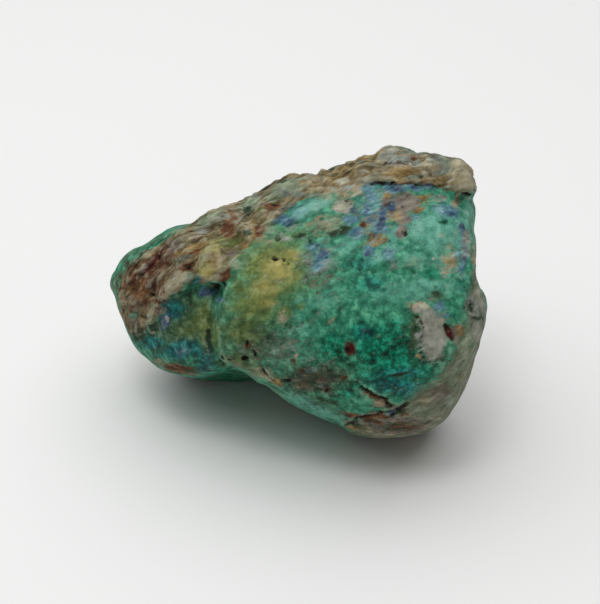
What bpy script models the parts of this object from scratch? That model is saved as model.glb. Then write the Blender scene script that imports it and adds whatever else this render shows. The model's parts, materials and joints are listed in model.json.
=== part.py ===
"""An azurite and malachite specimen: one rolled stone with a green and blue crust on brown matrix.

The stone lies on its underside. +X runs along it to the fat end, +Z is up, and the origin is on the
surface that it rests on, under the middle of its box. Sizes are in millimetres until the mesh is made.

Its form is worked out in this order: a ball is planed by the facets that rolling left, its outline is
drawn to the one seen from the show side, the crust, lumps, hollows and creases are raised or sunk, and
the worn patches that it rests on are cut flat.
"""

import math
from collections import namedtuple

import bmesh
import bpy
import numpy as np
from mathutils import Vector, noise

MM = 0.001

# The show side, from which the outline and the features are measured
SHOW_AZIMUTH = math.radians(25)
SHOW_ELEVATION = math.radians(34)
EYE_DISTANCE = 330.0

# The ball that the stone is shaped from, and how many triangles are left of it at the end
BALL_SUBDIVISIONS = 7
TRIANGLES_LEFT = 9400

# How far under the middle of the stone the resting surface is, and the block that cuts it flat there
RESTING_DEPTH = 21.3
GROUND_BLOCK_SIDE = 120.0

# A facet's normal, and its distance from the middle of the stone
Facet = namedtuple("Facet", "name normal distance")
FACET_SHARPNESS = 7.0
FACETS = (
    Facet("shield", (0.28, -0.82, 0.48), 20.5),
    Facet("shield_low", (0.10, -0.93, -0.20), 19.5),
    Facet("shield_top", (0.05, -0.45, 0.89), 19.5),
    Facet("under_shield", (-0.23, -0.65, -0.73), 16.0),
    Facet("lobe_front", (-0.50, -0.84, 0.20), 18.0),
    Facet("rim_top", (-0.36, -0.05, 0.93), 16.0),
    Facet("rim_back", (-0.30, 0.60, 0.74), 19.5),
    Facet("summit", (0.35, 0.35, 0.87), 25.5),
    Facet("fat_end", (0.93, 0.36, 0.05), 29.0),
    Facet("fat_end_low", (0.80, -0.20, -0.56), 27.0),
    Facet("fat_end_back", (0.62, 0.78, -0.05), 27.5),
    Facet("back", (0.00, 1.00, 0.02), 20.5),
    Facet("back_left", (-0.55, 0.83, 0.05), 21.0),
    Facet("back_low", (0.10, 0.76, -0.64), 22.5),
    Facet("tip", (-1.00, 0.00, -0.05), 32.0),
    Facet("tip_low", (-0.74, -0.45, -0.50), 26.5),
    Facet("tip_top", (-0.72, 0.15, 0.68), 22.0),
    Facet("underside", (-0.05, 0.05, -1.00), 23.0),
)

# The outline seen from the show side: millimetres to the right and up of the line of sight, clockwise
# from the left end
OUTLINE = (
    (-29.7, 2.7), (-29.1, 4.7), (-27.4, 6.8), (-24.4, 8.9), (-21.6, 11.0), (-19.8, 12.0), (-16.9, 12.4),
    (-14.8, 13.8), (-11.9, 14.7), (-9.4, 15.8), (-7.7, 16.9), (-5.6, 17.9), (-3.9, 19.1), (-1.9, 19.8),
    (0.6, 20.3), (3.1, 20.2), (6.5, 21.6), (9.8, 22.7), (12.8, 23.9), (14.8, 24.5), (17.0, 24.0),
    (19.1, 23.3), (21.2, 23.1), (23.7, 22.8), (25.8, 22.2), (26.8, 21.0), (27.6, 18.9), (27.5, 16.9),
    (27.0, 11.4), (27.3, 6.8), (27.5, 3.4), (28.1, 2.2), (29.1, 0.1), (28.9, -3.3), (27.8, -8.7),
    (25.8, -14.1), (22.8, -18.8), (19.9, -20.8), (16.6, -21.5), (12.3, -21.7), (8.2, -21.1), (6.1, -19.5),
    (2.8, -18.1), (-1.0, -16.3), (-3.5, -14.5), (-5.5, -12.9), (-7.7, -12.5), (-12.7, -12.3),
    (-18.1, -12.0), (-21.6, -10.8), (-24.2, -8.8), (-25.7, -7.5), (-27.0, -4.9), (-28.2, -2.0),
    (-28.9, 0.5),
)
OUTLINE_MIDDLE = (-0.5, 1.0)
OUTLINE_BINS = 180
# Bends of the outline narrower than OUTLINE_BROAD_BEND shape the surface only where it turns edge-on
OUTLINE_CORE_SHARE = 0.15
OUTLINE_BROAD_BEND = math.radians(24)
EDGE_ON, FACE_ON = 0.2, 0.6
# How far past the outline a feature of the show side reaches, as a share of a right angle
OUTLINE_TURN = 0.15

# The line along which the rough brown rim meets the green shield and the lobe, seen from the show side
BROW = (
    (-25.6, -5.6), (-23.4, -4.7), (-22.2, -2.0), (-21.4, 0.2), (-19.1, 0.9), (-17.0, 3.0), (-16.1, 4.2),
    (-14.7, 2.7), (-13.0, 2.0), (-11.6, 3.4), (-10.5, 6.3), (-8.6, 8.1), (-5.9, 10.6), (-3.8, 12.5),
    (-1.6, 14.8), (0.8, 16.4), (5.5, 17.5), (9.4, 18.1), (12.5, 18.7), (15.6, 18.4), (19.5, 18.4),
    (23.4, 17.5), (25.6, 16.8), (27.7, 16.4),
)
BROW_STEP = 0.9
BROW_SOFTNESS = 0.8
UNDERSIDE_TURN, UPPER_TURN = -0.25, 0.15

# The line along which the rim gives way to the smooth green back, at the tip
BACK_EDGE = (
    (-29.5, -2.0), (-28.4, 0.3), (-28.6, 2.7), (-27.5, 4.8), (-25.6, 6.6), (-23.4, 8.6), (-21.4, 9.8),
    (-19.4, 11.1), (-16.9, 12.3),
)
# How far round the back the rim goes, at the tip and at the fat end, and where the one gives way
RIM_TURN_AT_TIP, RIM_TURN_AT_FAT_END, RIM_TURN_FADE = -0.05, -0.50, 0.25
RIM_TURN_WANDER, RIM_TURN_WANDER_SIZE = 0.55, 8.0
TIP_END_X, FAT_END_X = -17.0, -6.0

# The edge along which the green crust ends over the bare tan rock of the foot
CRUST_EDGE = (
    (6.5, -20.0), (8.8, -18.8), (10.8, -18.0), (13.3, -18.0), (16.0, -16.9), (18.0, -14.2), (21.4, -12.0),
    (23.0, -10.2), (25.9, -4.0), (26.5, 0.5),
)
CRUST_THICKNESS = 0.6
CRUST_SOFTNESS = 0.8
BARE_ROCK_WIDTH, BARE_ROCK_FADE = 6.0, 5.0

# The crease where the shield overhangs the small lobe at the tip
CREASE = (
    (-13.0, 2.0), (-13.8, -0.5), (-14.2, -2.8), (-14.2, -5.2), (-13.8, -7.6), (-13.0, -9.5),
    (-12.0, -10.7), (-10.8, -11.8), (-5.0, -17.0),
)
CREASE_DEPTH = 1.3
CREASE_WIDTH = 1.0
LOBE_SET_BACK = 1.4
LOBE_STEP = (-0.3, 0.7)
LOBE_LENGTH, LOBE_FADE = 9.0, 7.0

# Lumps stand out and hollows, with a height under zero, go in. They are placed as seen from the show
# side, in millimetres right and up of the line of sight, or by a direction from the stone's middle
Lump = namedtuple("Lump", "name right up radius height")
LUMPS = (
    Lump("summit_knob_top", 25.2, 20.9, 2.0, 1.5),
    Lump("summit_knob_foot", 26.2, 18.5, 1.9, 1.6),
    Lump("knob_hollow", 22.6, 18.9, 1.0, -0.8),
    Lump("knob_undercut", 25.9, 16.5, 1.1, -1.7),
    Lump("summit_crown", 14.7, 24.0, 2.2, 0.5),
    Lump("summit_ledge", 15.6, 20.3, 2.6, 0.9),
    Lump("summit_ledge_right", 20.2, 19.9, 2.0, 0.7),
    Lump("summit_hollow", 22.8, 21.2, 1.5, -0.9),
    Lump("summit_crack", 18.4, 22.6, 0.9, -0.7),
    Lump("pale_ridge_top", 23.8, 18.2, 0.9, 0.5),
    Lump("pale_ridge_foot", 24.8, 15.6, 0.9, 0.5),
    Lump("brow_gap_left", 12.7, 18.6, 0.9, -1.2),
    Lump("brow_gap_right", 14.6, 18.8, 0.9, -1.2),
    Lump("rim_ledge_orange", 10.3, 21.2, 1.8, 0.7),
    Lump("rim_ledge_tan", 7.0, 20.2, 1.8, 0.8),
    Lump("rim_ledge_gap", 4.2, 19.0, 0.9, -0.8),
    Lump("rim_cobble_green", 1.2, 18.9, 2.2, 0.8),
    Lump("rim_cobble_back", -2.2, 17.9, 1.6, 0.6),
    Lump("rim_gap_red", -3.9, 15.2, 1.0, -1.0),
    Lump("rim_gap_dark", -8.6, 14.1, 1.0, -1.0),
    Lump("rim_cobble_tan", -6.2, 15.6, 1.5, 0.7),
    Lump("rim_gap_rust", -6.4, 11.4, 0.8, -0.7),
    Lump("rim_cobble_rust", -9.2, 11.2, 1.6, 0.7),
    Lump("rim_gap_brown", -11.1, 10.6, 0.8, -0.7),
    Lump("rim_plate_grey", -18.0, 9.7, 2.6, 0.8),
    Lump("rim_plate_gap", -15.6, 8.6, 0.9, -0.8),
    Lump("yellow_nodule", -13.9, 7.0, 1.7, 1.9),
    Lump("yellow_nodule_foot", -14.6, 5.0, 1.3, 0.8),
    Lump("nodule_hollow_right", -12.1, 4.2, 1.1, -1.3),
    Lump("nodule_hollow_left", -16.6, 5.9, 1.1, -1.1),
    Lump("ring_nodule", -10.1, 6.0, 0.9, 0.5),
    Lump("tan_ridge_top", -17.9, 3.9, 1.3, 1.3),
    Lump("tan_ridge_middle", -19.6, 2.5, 1.4, 1.3),
    Lump("tan_ridge_foot", -21.3, 1.1, 1.4, 1.2),
    Lump("ridge_valley", -21.2, 4.6, 1.0, -0.9),
    Lump("red_crack_top", -21.8, 7.9, 0.9, -0.9),
    Lump("red_crack_foot", -23.6, 6.0, 0.9, -0.9),
    Lump("tip_cobble_high", -24.6, 3.8, 1.7, 0.8),
    Lump("tip_cobble_low", -26.4, 1.2, 1.6, 0.7),
    Lump("tip_crack", -24.6, 0.2, 0.8, -0.8),
    Lump("tip_shelf", -23.6, -2.9, 1.3, 0.6),
    Lump("violet_cobble", -21.1, -2.9, 1.1, 0.6),
    Lump("crease_hole", -13.2, 2.3, 1.2, -2.0),
    Lump("shield_roll_high", -10.6, -1.0, 3.6, 0.7),
    Lump("shield_roll_low", -9.8, -6.5, 3.0, 0.6),
    Lump("lobe_belly", -18.5, -5.5, 3.6, 0.5),
    Lump("shield_belly", 9.0, -6.0, 9.0, 0.8),
    Lump("shield_dip", -1.0, 7.5, 4.5, -0.4),
    Lump("patch_hole_high", 7.2, 16.0, 0.7, -0.6),
    Lump("patch_hole_right", 16.5, 10.8, 0.8, -0.8),
    Lump("patch_hollow", 15.0, 14.6, 2.6, -0.35),
    Lump("patch_step", 6.2, 13.4, 1.6, -0.4),
    Lump("grey_crack", 6.4, 11.0, 0.9, -0.5),
    Lump("turquoise_swell", 2.2, 14.6, 2.0, 0.45),
    Lump("inclusion", 20.8, -5.2, 2.2, -0.6),
    Lump("inclusion_lip", 19.2, -1.2, 1.2, 0.7),
    Lump("inclusion_hole", 23.5, -4.9, 0.9, -1.2),
    Lump("red_pit", 7.8, -7.3, 0.7, -0.7),
    Lump("low_pit_high", -8.1, -6.5, 0.6, -0.7),
    Lump("low_pit_mid", -7.3, -8.2, 0.6, -0.7),
    Lump("low_pit_left", -8.7, -8.9, 0.8, -1.0),
    Lump("low_crack_left", -5.8, -11.1, 0.7, -0.7),
    Lump("low_crack_right", -2.4, -12.2, 0.7, -0.7),
    Lump("low_ledge_left", -0.4, -10.2, 1.6, 0.5),
    Lump("low_ledge_right", 5.0, -11.6, 1.8, 0.5),
    Lump("low_ledge_gap", 2.6, -13.9, 0.8, -0.6),
    Lump("foot_ledge", 9.6, -14.6, 2.0, 0.5),
    Lump("foot_gap", 12.6, -17.2, 0.9, -0.7),
    Lump("fat_end_boss", 28.4, -0.6, 2.0, 0.7),
    Lump("fat_end_notch", 27.6, 2.6, 1.4, -0.6),
)
# A named lump on the rim that is this high is smoother than the rim around it
SMOOTH_LUMP_HEIGHT = 1.0
SMOOTH_LUMP_REACH = 1.25

HiddenLump = namedtuple("HiddenLump", "name azimuth elevation radius height")
HIDDEN_LUMPS = (
    HiddenLump("back_boss", 70, 10, 8.0, 1.6),
    HiddenLump("back_waist", 112, -8, 5.0, -1.8),
    HiddenLump("back_lobe", 140, -5, 6.5, 1.2),
    HiddenLump("back_ledge", 84, 38, 4.0, 1.1),
    HiddenLump("back_gap", 100, 30, 2.6, -1.4),
    HiddenLump("back_hollow", 55, -18, 4.0, -1.2),
    HiddenLump("back_cobble", 122, 24, 2.8, 1.0),
    HiddenLump("end_dimple", 30, 8, 3.2, -0.9),
    HiddenLump("end_cobble", 15, -22, 4.0, 0.8),
    HiddenLump("foot_under_lobe", 160, -53, 6.0, 2.6),
    HiddenLump("foot_behind", 40, -58, 6.0, 1.2),
    HiddenLump("under_hollow", -120, -62, 6.0, -1.8),
    HiddenLump("under_channel", 95, -66, 5.0, -1.4),
)

# Relief of the worn surface: broad swells everywhere, and cobbles and ledges along the rim
SWELL_SIZE, SWELL_HEIGHT = 11.0, 0.55
RIPPLE_SIZE, RIPPLE_HEIGHT = 3.6, 0.22
RIM_COBBLE_SIZE, RIM_COBBLE_HEIGHT = 4.2, 1.0
RIM_NODULE_SIZE, RIM_NODULE_HEIGHT = 2.6, 0.45
# Cobbles are longer along this direction, and COBBLE_JOINT is where a joint gives way to a crown
RIM_GRAIN = (0.55, 0.0, 0.25)
COBBLE_JOINT, COBBLE_MEAN = 0.55, 0.6
# Each ledge rises over LEDGE_RISER of its width and slopes back to the next
LEDGE_WIDTH, LEDGE_HEIGHT, LEDGE_MEAN, LEDGE_RISER = 2.9, 1.1, 0.35, 0.25
LEDGE_WANDER, LEDGE_WANDER_SIZE = 1.0, 5.0

STONE_GREEN = (0.10, 0.34, 0.24, 1.0)
STONE_ROUGHNESS = 0.6


def show_axes():
    """The directions to the right, up and towards the eye, seen from the show side."""
    sin_a, cos_a = math.sin(SHOW_AZIMUTH), math.cos(SHOW_AZIMUTH)
    sin_e, cos_e = math.sin(SHOW_ELEVATION), math.cos(SHOW_ELEVATION)
    right = np.array((cos_a, sin_a, 0.0))
    up = np.array((-sin_e * sin_a, sin_e * cos_a, cos_e))
    toward = np.array((sin_a * cos_e, -cos_a * cos_e, sin_e))
    return right, up, toward


def seen(points):
    """Each point's place right and up of the line of sight, its depth towards the eye, and its scale."""
    right, up, toward = show_axes()
    depth = points @ toward
    nearness = EYE_DISTANCE / (EYE_DISTANCE - depth)
    return np.stack((points @ right * nearness, points @ up * nearness), 1), depth, nearness


def unseen(places, depth, nearness):
    """The points that are seen at those places, at that depth."""
    right, up, toward = show_axes()
    flat = places / nearness[:, None]
    return flat[:, :1] * right + flat[:, 1:] * up + depth[:, None] * toward


def rise(value, low, high):
    """0 below low and 1 above high, with a smooth rise between them."""
    share = np.clip((value - low) / (high - low), 0, 1)
    return share * share * (3 - 2 * share)


def unit_ball():
    """The directions and triangles of an even ball."""
    ball = bmesh.new()
    bmesh.ops.create_icosphere(ball, subdivisions=BALL_SUBDIVISIONS, radius=1.0)
    directions = np.array([vertex.co for vertex in ball.verts], float)
    triangles = np.array([[vertex.index for vertex in face.verts] for face in ball.faces])
    ball.free()
    return directions / np.linalg.norm(directions, axis=1)[:, None], triangles


def planed(directions):
    """The points where those directions leave a body bounded by the facets, with its edges worn round."""
    total = np.zeros(len(directions))
    for facet in FACETS:
        normal = np.array(facet.normal) / np.linalg.norm(facet.normal)
        total += np.maximum(directions @ normal / facet.distance, 0) ** FACET_SHARPNESS
    return directions * (total ** (-1 / FACET_SHARPNESS))[:, None]


def normals_of(points, triangles):
    """Each point's outward normal."""
    corner, second, third = (points[triangles[:, i]] for i in range(3))
    face_normals = np.cross(second - corner, third - corner)
    normals = np.zeros_like(points)
    for i in range(3):
        np.add.at(normals, triangles[:, i], face_normals)
    return normals / np.linalg.norm(normals, axis=1)[:, None]


def outline_radius(angles):
    """How far the outline lies from its middle, in each of those directions."""
    offsets = np.array(OUTLINE) - OUTLINE_MIDDLE
    corner_angles = np.arctan2(offsets[:, 1], offsets[:, 0])
    order = np.argsort(corner_angles)
    radii = np.hypot(offsets[:, 0], offsets[:, 1])[order]
    return np.interp(angles, corner_angles[order], radii, period=2 * math.pi)


def smoothed_round(values, bend):
    """Values at even steps round a circle, with every bend shorter than that angle smoothed out."""
    step = 2 * math.pi / len(values)
    offsets = (np.arange(len(values)) + len(values) // 2) % len(values) - len(values) // 2
    weights = np.exp(-((offsets * step / bend) ** 2))
    return np.fft.irfft(np.fft.rfft(values) * np.fft.rfft(weights / weights.sum()), len(values))


def drawn_to_outline(points, triangles):
    """The points, moved across the line of sight so that the stone's outline is OUTLINE."""
    places, depth, nearness = seen(points)
    offsets = places - OUTLINE_MIDDLE
    angles = np.arctan2(offsets[:, 1], offsets[:, 0])
    radii = np.hypot(offsets[:, 0], offsets[:, 1])
    bins = ((angles + math.pi) / (2 * math.pi) * OUTLINE_BINS).astype(int) % OUTLINE_BINS
    widest = np.zeros(OUTLINE_BINS)
    np.maximum.at(widest, bins, radii)
    bin_angles = (np.arange(OUTLINE_BINS) + 0.5) / OUTLINE_BINS * 2 * math.pi - math.pi
    at_edge = outline_radius(bin_angles) / widest
    within = smoothed_round(at_edge, OUTLINE_BROAD_BEND)

    def at_points(values):
        return np.interp(angles, bin_angles, values, period=2 * math.pi)

    share = radii / at_points(widest)
    turn = np.abs(normals_of(points, triangles) @ show_axes()[2])
    edge_on = 1 - rise(turn, EDGE_ON, FACE_ON)
    stretch = at_edge.mean() + (at_points(within) - at_edge.mean()) * rise(share, 0, OUTLINE_CORE_SHARE)
    stretch += (at_points(at_edge) - at_points(within)) * edge_on
    return unseen(offsets * stretch[:, None] + OUTLINE_MIDDLE, depth, nearness)


def from_line(places, line):
    """Each place's distance from an open line, and on which side: over zero to the left of its run."""
    nearest = np.full(len(places), np.inf)
    side = np.ones(len(places))
    for start, end in zip(np.array(line[:-1]), np.array(line[1:])):
        run = end - start
        share = np.clip((places - start) @ run / (run @ run), 0, 1)
        gap = places - start - share[:, None] * run
        distance = np.hypot(gap[:, 0], gap[:, 1])
        closer = distance < nearest
        nearest = np.where(closer, distance, nearest)
        turn = run[0] * (places[:, 1] - start[1]) - run[1] * (places[:, 0] - start[0])
        side = np.where(closer, np.sign(turn), side)
    return nearest, side


def facing(points, triangles):
    """1 where the surface faces the show side, falling to 0 just past the outline."""
    toward = show_axes()[2]
    return rise(normals_of(points, triangles) @ toward, -OUTLINE_TURN, OUTLINE_TURN)


def rim_share(points, triangles):
    """1 on the rough brown rim along the top, and 0 elsewhere."""
    places, _, _ = seen(points)
    normals = normals_of(points, triangles)
    distance, side = from_line(places, BROW)
    above = rise(distance * side, -BROW_SOFTNESS / 2, BROW_SOFTNESS / 2)
    upper = rise(normals[:, 2], UNDERSIDE_TURN, UPPER_TURN)
    to_fat_end = rise(points[:, 0], TIP_END_X, FAT_END_X)
    last_turn = RIM_TURN_AT_TIP + (RIM_TURN_AT_FAT_END - RIM_TURN_AT_TIP) * to_fat_end
    last_turn = last_turn + RIM_TURN_WANDER * to_fat_end * noise_at(points, RIM_TURN_WANDER_SIZE, 6)
    turned = rise(normals @ show_axes()[2] - last_turn, 0, RIM_TURN_FADE)
    distance, side = from_line(places, BACK_EDGE)
    in_front = np.maximum(rise(-distance * side, -BROW_SOFTNESS, BROW_SOFTNESS), to_fat_end)
    return above * upper * turned * in_front


def noise_at(points, size, seed):
    """Smooth noise from about -1 to 1 whose features have that size."""
    shift = Vector((seed * 17.3, seed * 5.1, seed * 9.7))
    return np.array([noise.noise(Vector(point) / size + shift) for point in points])


def cobbles_at(points, size, seed):
    """Rounded lumps of that size, packed side by side along the rim: 1 on a crown and 0 in the joints."""
    shift = Vector((seed * 13.9, seed * 7.7, seed * 3.3))
    along = np.array(RIM_GRAIN)
    pressed = points - (points @ along)[:, None] * along
    crowns = np.empty(len(points))
    for i, point in enumerate(pressed):
        distances = noise.voronoi(Vector(point) / size + shift)[0]
        crowns[i] = distances[1] - distances[0]
    return rise(crowns, 0.0, COBBLE_JOINT)


def moved_along_normals(points, triangles, heights):
    """The points, moved out by those heights."""
    return points + normals_of(points, triangles) * heights[:, None]


def creased(points, triangles):
    """The small lobe at the tip is set back from the shield, with a deep crease between them."""
    places, _, _ = seen(points)
    distance, side = from_line(places, CREASE)
    groove = CREASE_DEPTH * np.exp(-((distance / CREASE_WIDTH) ** 2))
    along_lobe = 1 - rise(distance, LOBE_LENGTH - LOBE_FADE, LOBE_LENGTH)
    set_back = LOBE_SET_BACK * rise(-distance * side, *LOBE_STEP) * along_lobe
    set_back *= 1 - rim_share(points, triangles)
    return moved_along_normals(points, triangles, -(groove + set_back) * facing(points, triangles))


def crusted(points, triangles):
    """The rim stands over the shield along the brow, and the green crust over the foot's bare rock."""
    places, _, _ = seen(points)
    distance, side = from_line(places, CRUST_EDGE)
    bare = rise(-distance * side, -CRUST_SOFTNESS / 2, CRUST_SOFTNESS / 2)
    bare *= 1 - rise(distance, BARE_ROCK_WIDTH - BARE_ROCK_FADE, BARE_ROCK_WIDTH)
    heights = BROW_STEP * rim_share(points, triangles) - CRUST_THICKNESS * bare * facing(points, triangles)
    return moved_along_normals(points, triangles, heights)


def near(points, anchor, radius):
    """1 at the anchor, falling to 0 over that radius and as much again."""
    return np.exp(-((np.linalg.norm(points - anchor, axis=1) / radius) ** 2))


def anchor_of(lump, points, triangles):
    """The point of the visible surface where that lump is seen."""
    places, _, _ = seen(points)
    miss = np.hypot(places[:, 0] - lump.right, places[:, 1] - lump.up)
    return points[np.argmin(np.where(facing(points, triangles) > 0.5, miss, np.inf))]


def lumped(points, triangles):
    """Every named lump is raised and every named hollow sunk."""
    heights = np.zeros(len(points))
    for lump in LUMPS:
        heights += lump.height * near(points, anchor_of(lump, points, triangles), lump.radius)
    directions = points / np.linalg.norm(points, axis=1)[:, None]
    for lump in HIDDEN_LUMPS:
        azimuth, elevation = math.radians(lump.azimuth), math.radians(lump.elevation)
        aim = np.array((
            math.cos(azimuth) * math.cos(elevation),
            math.sin(azimuth) * math.cos(elevation),
            math.sin(elevation),
        ))
        heights += lump.height * near(points, points[np.argmax(directions @ aim)], lump.radius)
    return moved_along_normals(points, triangles, heights)


def roughened(points, triangles):
    """Broad swells and ripples all over, and cobbles, nodules and ledges on the rim."""
    rim = rim_share(points, triangles)
    for lump in LUMPS:
        if lump.height >= SMOOTH_LUMP_HEIGHT:
            anchor = anchor_of(lump, points, triangles)
            rim = rim * (1 - near(points, anchor, lump.radius * SMOOTH_LUMP_REACH))
    from_brow, _ = from_line(seen(points)[0], BROW)
    ledge = (from_brow + LEDGE_WANDER * noise_at(points, LEDGE_WANDER_SIZE, 5)) / LEDGE_WIDTH % 1
    rim_heights = RIM_COBBLE_HEIGHT * (cobbles_at(points, RIM_COBBLE_SIZE, 3) - COBBLE_MEAN)
    rim_heights += RIM_NODULE_HEIGHT * (cobbles_at(points, RIM_NODULE_SIZE, 4) - COBBLE_MEAN)
    rim_heights += LEDGE_HEIGHT * (rise(ledge, 0, LEDGE_RISER) * (1 - ledge) - LEDGE_MEAN)
    heights = SWELL_HEIGHT * noise_at(points, SWELL_SIZE, 1)
    heights += RIPPLE_HEIGHT * noise_at(points, RIPPLE_SIZE, 2)
    return moved_along_normals(points, triangles, heights + rim * rim_heights)


def stone_points(directions, triangles):
    """The stone's surface around its middle, in millimetres."""
    points = planed(directions)
    for step in (drawn_to_outline, creased, crusted, lumped, roughened, drawn_to_outline):
        points = step(points, triangles)
    return points


def set_on_the_ground(points):
    """The points moved so that the origin is on the resting surface, under the middle of their box."""
    middle = (points.min(0) + points.max(0)) / 2
    return points - (middle[0], middle[1], -RESTING_DEPTH)


def make_stone_material():
    """Worn green copper ore."""
    material = bpy.data.materials.new("copper_ore")
    material.use_nodes = True
    shader = material.node_tree.nodes["Principled BSDF"]
    shader.inputs["Base Color"].default_value = STONE_GREEN
    shader.inputs["Roughness"].default_value = STONE_ROUGHNESS
    shader.inputs["Metallic"].default_value = 0.0
    return material


def make_ground_block():
    """The block under the resting surface, which wears the stone's underside flat."""
    block_mesh = bpy.data.meshes.new("ground_block")
    block = bmesh.new()
    bmesh.ops.create_cube(block, size=GROUND_BLOCK_SIDE * MM)
    bmesh.ops.translate(block, verts=block.verts, vec=(0, 0, -GROUND_BLOCK_SIDE / 2 * MM))
    block.to_mesh(block_mesh)
    block.free()
    cutter = bpy.data.objects.new("ground_block", block_mesh)
    cutter.hide_render = True
    cutter.display_type = "WIRE"
    bpy.context.scene.collection.objects.link(cutter)
    return cutter


def make_stone():
    """The one piece: the whole specimen."""
    directions, triangles = unit_ball()
    points = set_on_the_ground(stone_points(directions, triangles))
    mesh = bpy.data.meshes.new("specimen")
    mesh.from_pydata((points * MM).tolist(), [], triangles.tolist())
    mesh.materials.append(make_stone_material())
    mesh.shade_smooth()
    stone = bpy.data.objects.new("specimen", mesh)
    bpy.context.scene.collection.objects.link(stone)
    thinning = stone.modifiers.new("fewer_faces", "DECIMATE")
    thinning.ratio = TRIANGLES_LEFT / len(triangles)
    wear = stone.modifiers.new("resting_faces", "BOOLEAN")
    wear.operation = "DIFFERENCE"
    wear.object = make_ground_block()


def clear_scene():
    """Start from an empty scene."""
    for thing in list(bpy.data.objects):
        bpy.data.objects.remove(thing)


def main():
    """Build the specimen."""
    clear_scene()
    make_stone()


main()
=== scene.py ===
"""The looks of an azurite and malachite specimen: one rolled stone, green and blue under a brown rim.

The stone's surface is worked on in millimetres around the middle of the stone, where the line of sight of
the show side passes. What is seen on that side is placed by its pixel in the photograph.
"""

import json
import logging
import math
from dataclasses import dataclass
from enum import Enum
from typing import Any, NamedTuple

import bpy
import numpy as np
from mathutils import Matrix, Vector, noise

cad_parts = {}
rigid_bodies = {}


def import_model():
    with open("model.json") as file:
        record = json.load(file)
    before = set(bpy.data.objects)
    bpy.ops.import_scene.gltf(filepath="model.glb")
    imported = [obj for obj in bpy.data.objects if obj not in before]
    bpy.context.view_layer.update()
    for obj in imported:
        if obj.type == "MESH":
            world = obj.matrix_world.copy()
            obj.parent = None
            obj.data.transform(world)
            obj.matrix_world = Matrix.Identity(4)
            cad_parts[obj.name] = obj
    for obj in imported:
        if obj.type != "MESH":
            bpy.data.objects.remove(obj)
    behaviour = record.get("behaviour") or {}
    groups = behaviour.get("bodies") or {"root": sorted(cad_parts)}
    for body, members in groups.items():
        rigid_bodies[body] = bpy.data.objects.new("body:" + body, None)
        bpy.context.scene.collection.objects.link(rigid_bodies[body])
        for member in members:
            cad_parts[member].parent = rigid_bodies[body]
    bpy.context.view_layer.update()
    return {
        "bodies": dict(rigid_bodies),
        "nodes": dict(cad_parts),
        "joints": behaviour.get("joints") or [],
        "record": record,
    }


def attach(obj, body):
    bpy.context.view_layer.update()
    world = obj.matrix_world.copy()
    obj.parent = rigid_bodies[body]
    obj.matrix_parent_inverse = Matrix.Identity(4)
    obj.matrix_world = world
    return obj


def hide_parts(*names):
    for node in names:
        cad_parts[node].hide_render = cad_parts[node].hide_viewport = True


MM = 0.001
HOLLOW = "hollow"
# The direction in which the rim's ledges run.
LEDGE = (0.70, 0.61, 0.38)
# How far apart the patterns of two seeds lie that follow each other.
NOISE_STEPS = (17.3, 5.1, 9.7)
CELL_STEPS = (13.9, 7.7, 3.3)
# The cover at the edge of a patch, and the middle of a shader's grain.
PATCH_EDGE = 0.5
MEAN_GRAIN = 0.5
# The curve between a colour as it is seen and the linear colour: straight up to the toe's end, then a power.
FULL_CHANNEL = 255
TOE_END, TOE_SLOPE = 0.04045, 12.92
CURVE_OFFSET, CURVE_POWER = 0.055, 2.4
# The sockets of a Mix node that blends colours.
MIX_FIRST, MIX_SECOND, MIX_RESULT = 6, 7, 2

Rgb = tuple[int, int, int]
Course = tuple[tuple[float, float], ...]


class Mineral(Enum):
    """What a part of the surface is made of, and where shade is painted on it, with the name under which the
    mesh keeps its cover.
    """

    AQUA = "aqua"
    EMERALD = "emerald"
    DEEP = "deep"
    MOSS = "moss"
    TEAL = "teal"
    TURQUOISE = "turquoise"
    ROCK = "rock"
    RIM = "rim"
    OLIVE = "olive"
    YELLOW = "yellow"
    SAGE = "sage"
    GREY = "grey"
    TAN = "tan"
    QUARTZ = "quartz"
    MAUVE = "mauve"
    OCHRE = "ochre"
    AZURE = "azure"
    INDIGO = "indigo"
    RUST = "rust"
    CUPRITE = "cuprite"
    CREAM = "cream"
    # Partly painted shade, partly dark green stains.
    SHADE = "shade"
    # Painted shade in holes, in gaps under ledges and on the floors of grooves.
    DARK = "dark"


@dataclass(frozen=True)
class Finish:
    """How one mineral looks: its colours in daylight, how dull it is, how softly and how raggedly it gives
    way to its neighbours, how evenly its tones are spread, and whether its grain is streaked."""

    dark: Rgb
    middle: Rgb
    light: Rgb
    roughness: float = 0.75
    edge: float = 0.22
    ragged: float = 1.9
    spread: float = 0.19
    streaked: bool = True


@dataclass(frozen=True)
class CrustFinish(Finish):
    """How a green or blue of the smooth crust looks: it is shinier, and fades into its neighbours."""

    roughness: float = 0.58
    edge: float = 0.42
    ragged: float = 0.95
    spread: float = 0.23
    streaked: bool = False


GREEN_CRUST = CrustFinish((14, 72, 50), (46, 126, 97), (102, 184, 146), spread=0.2)
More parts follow.
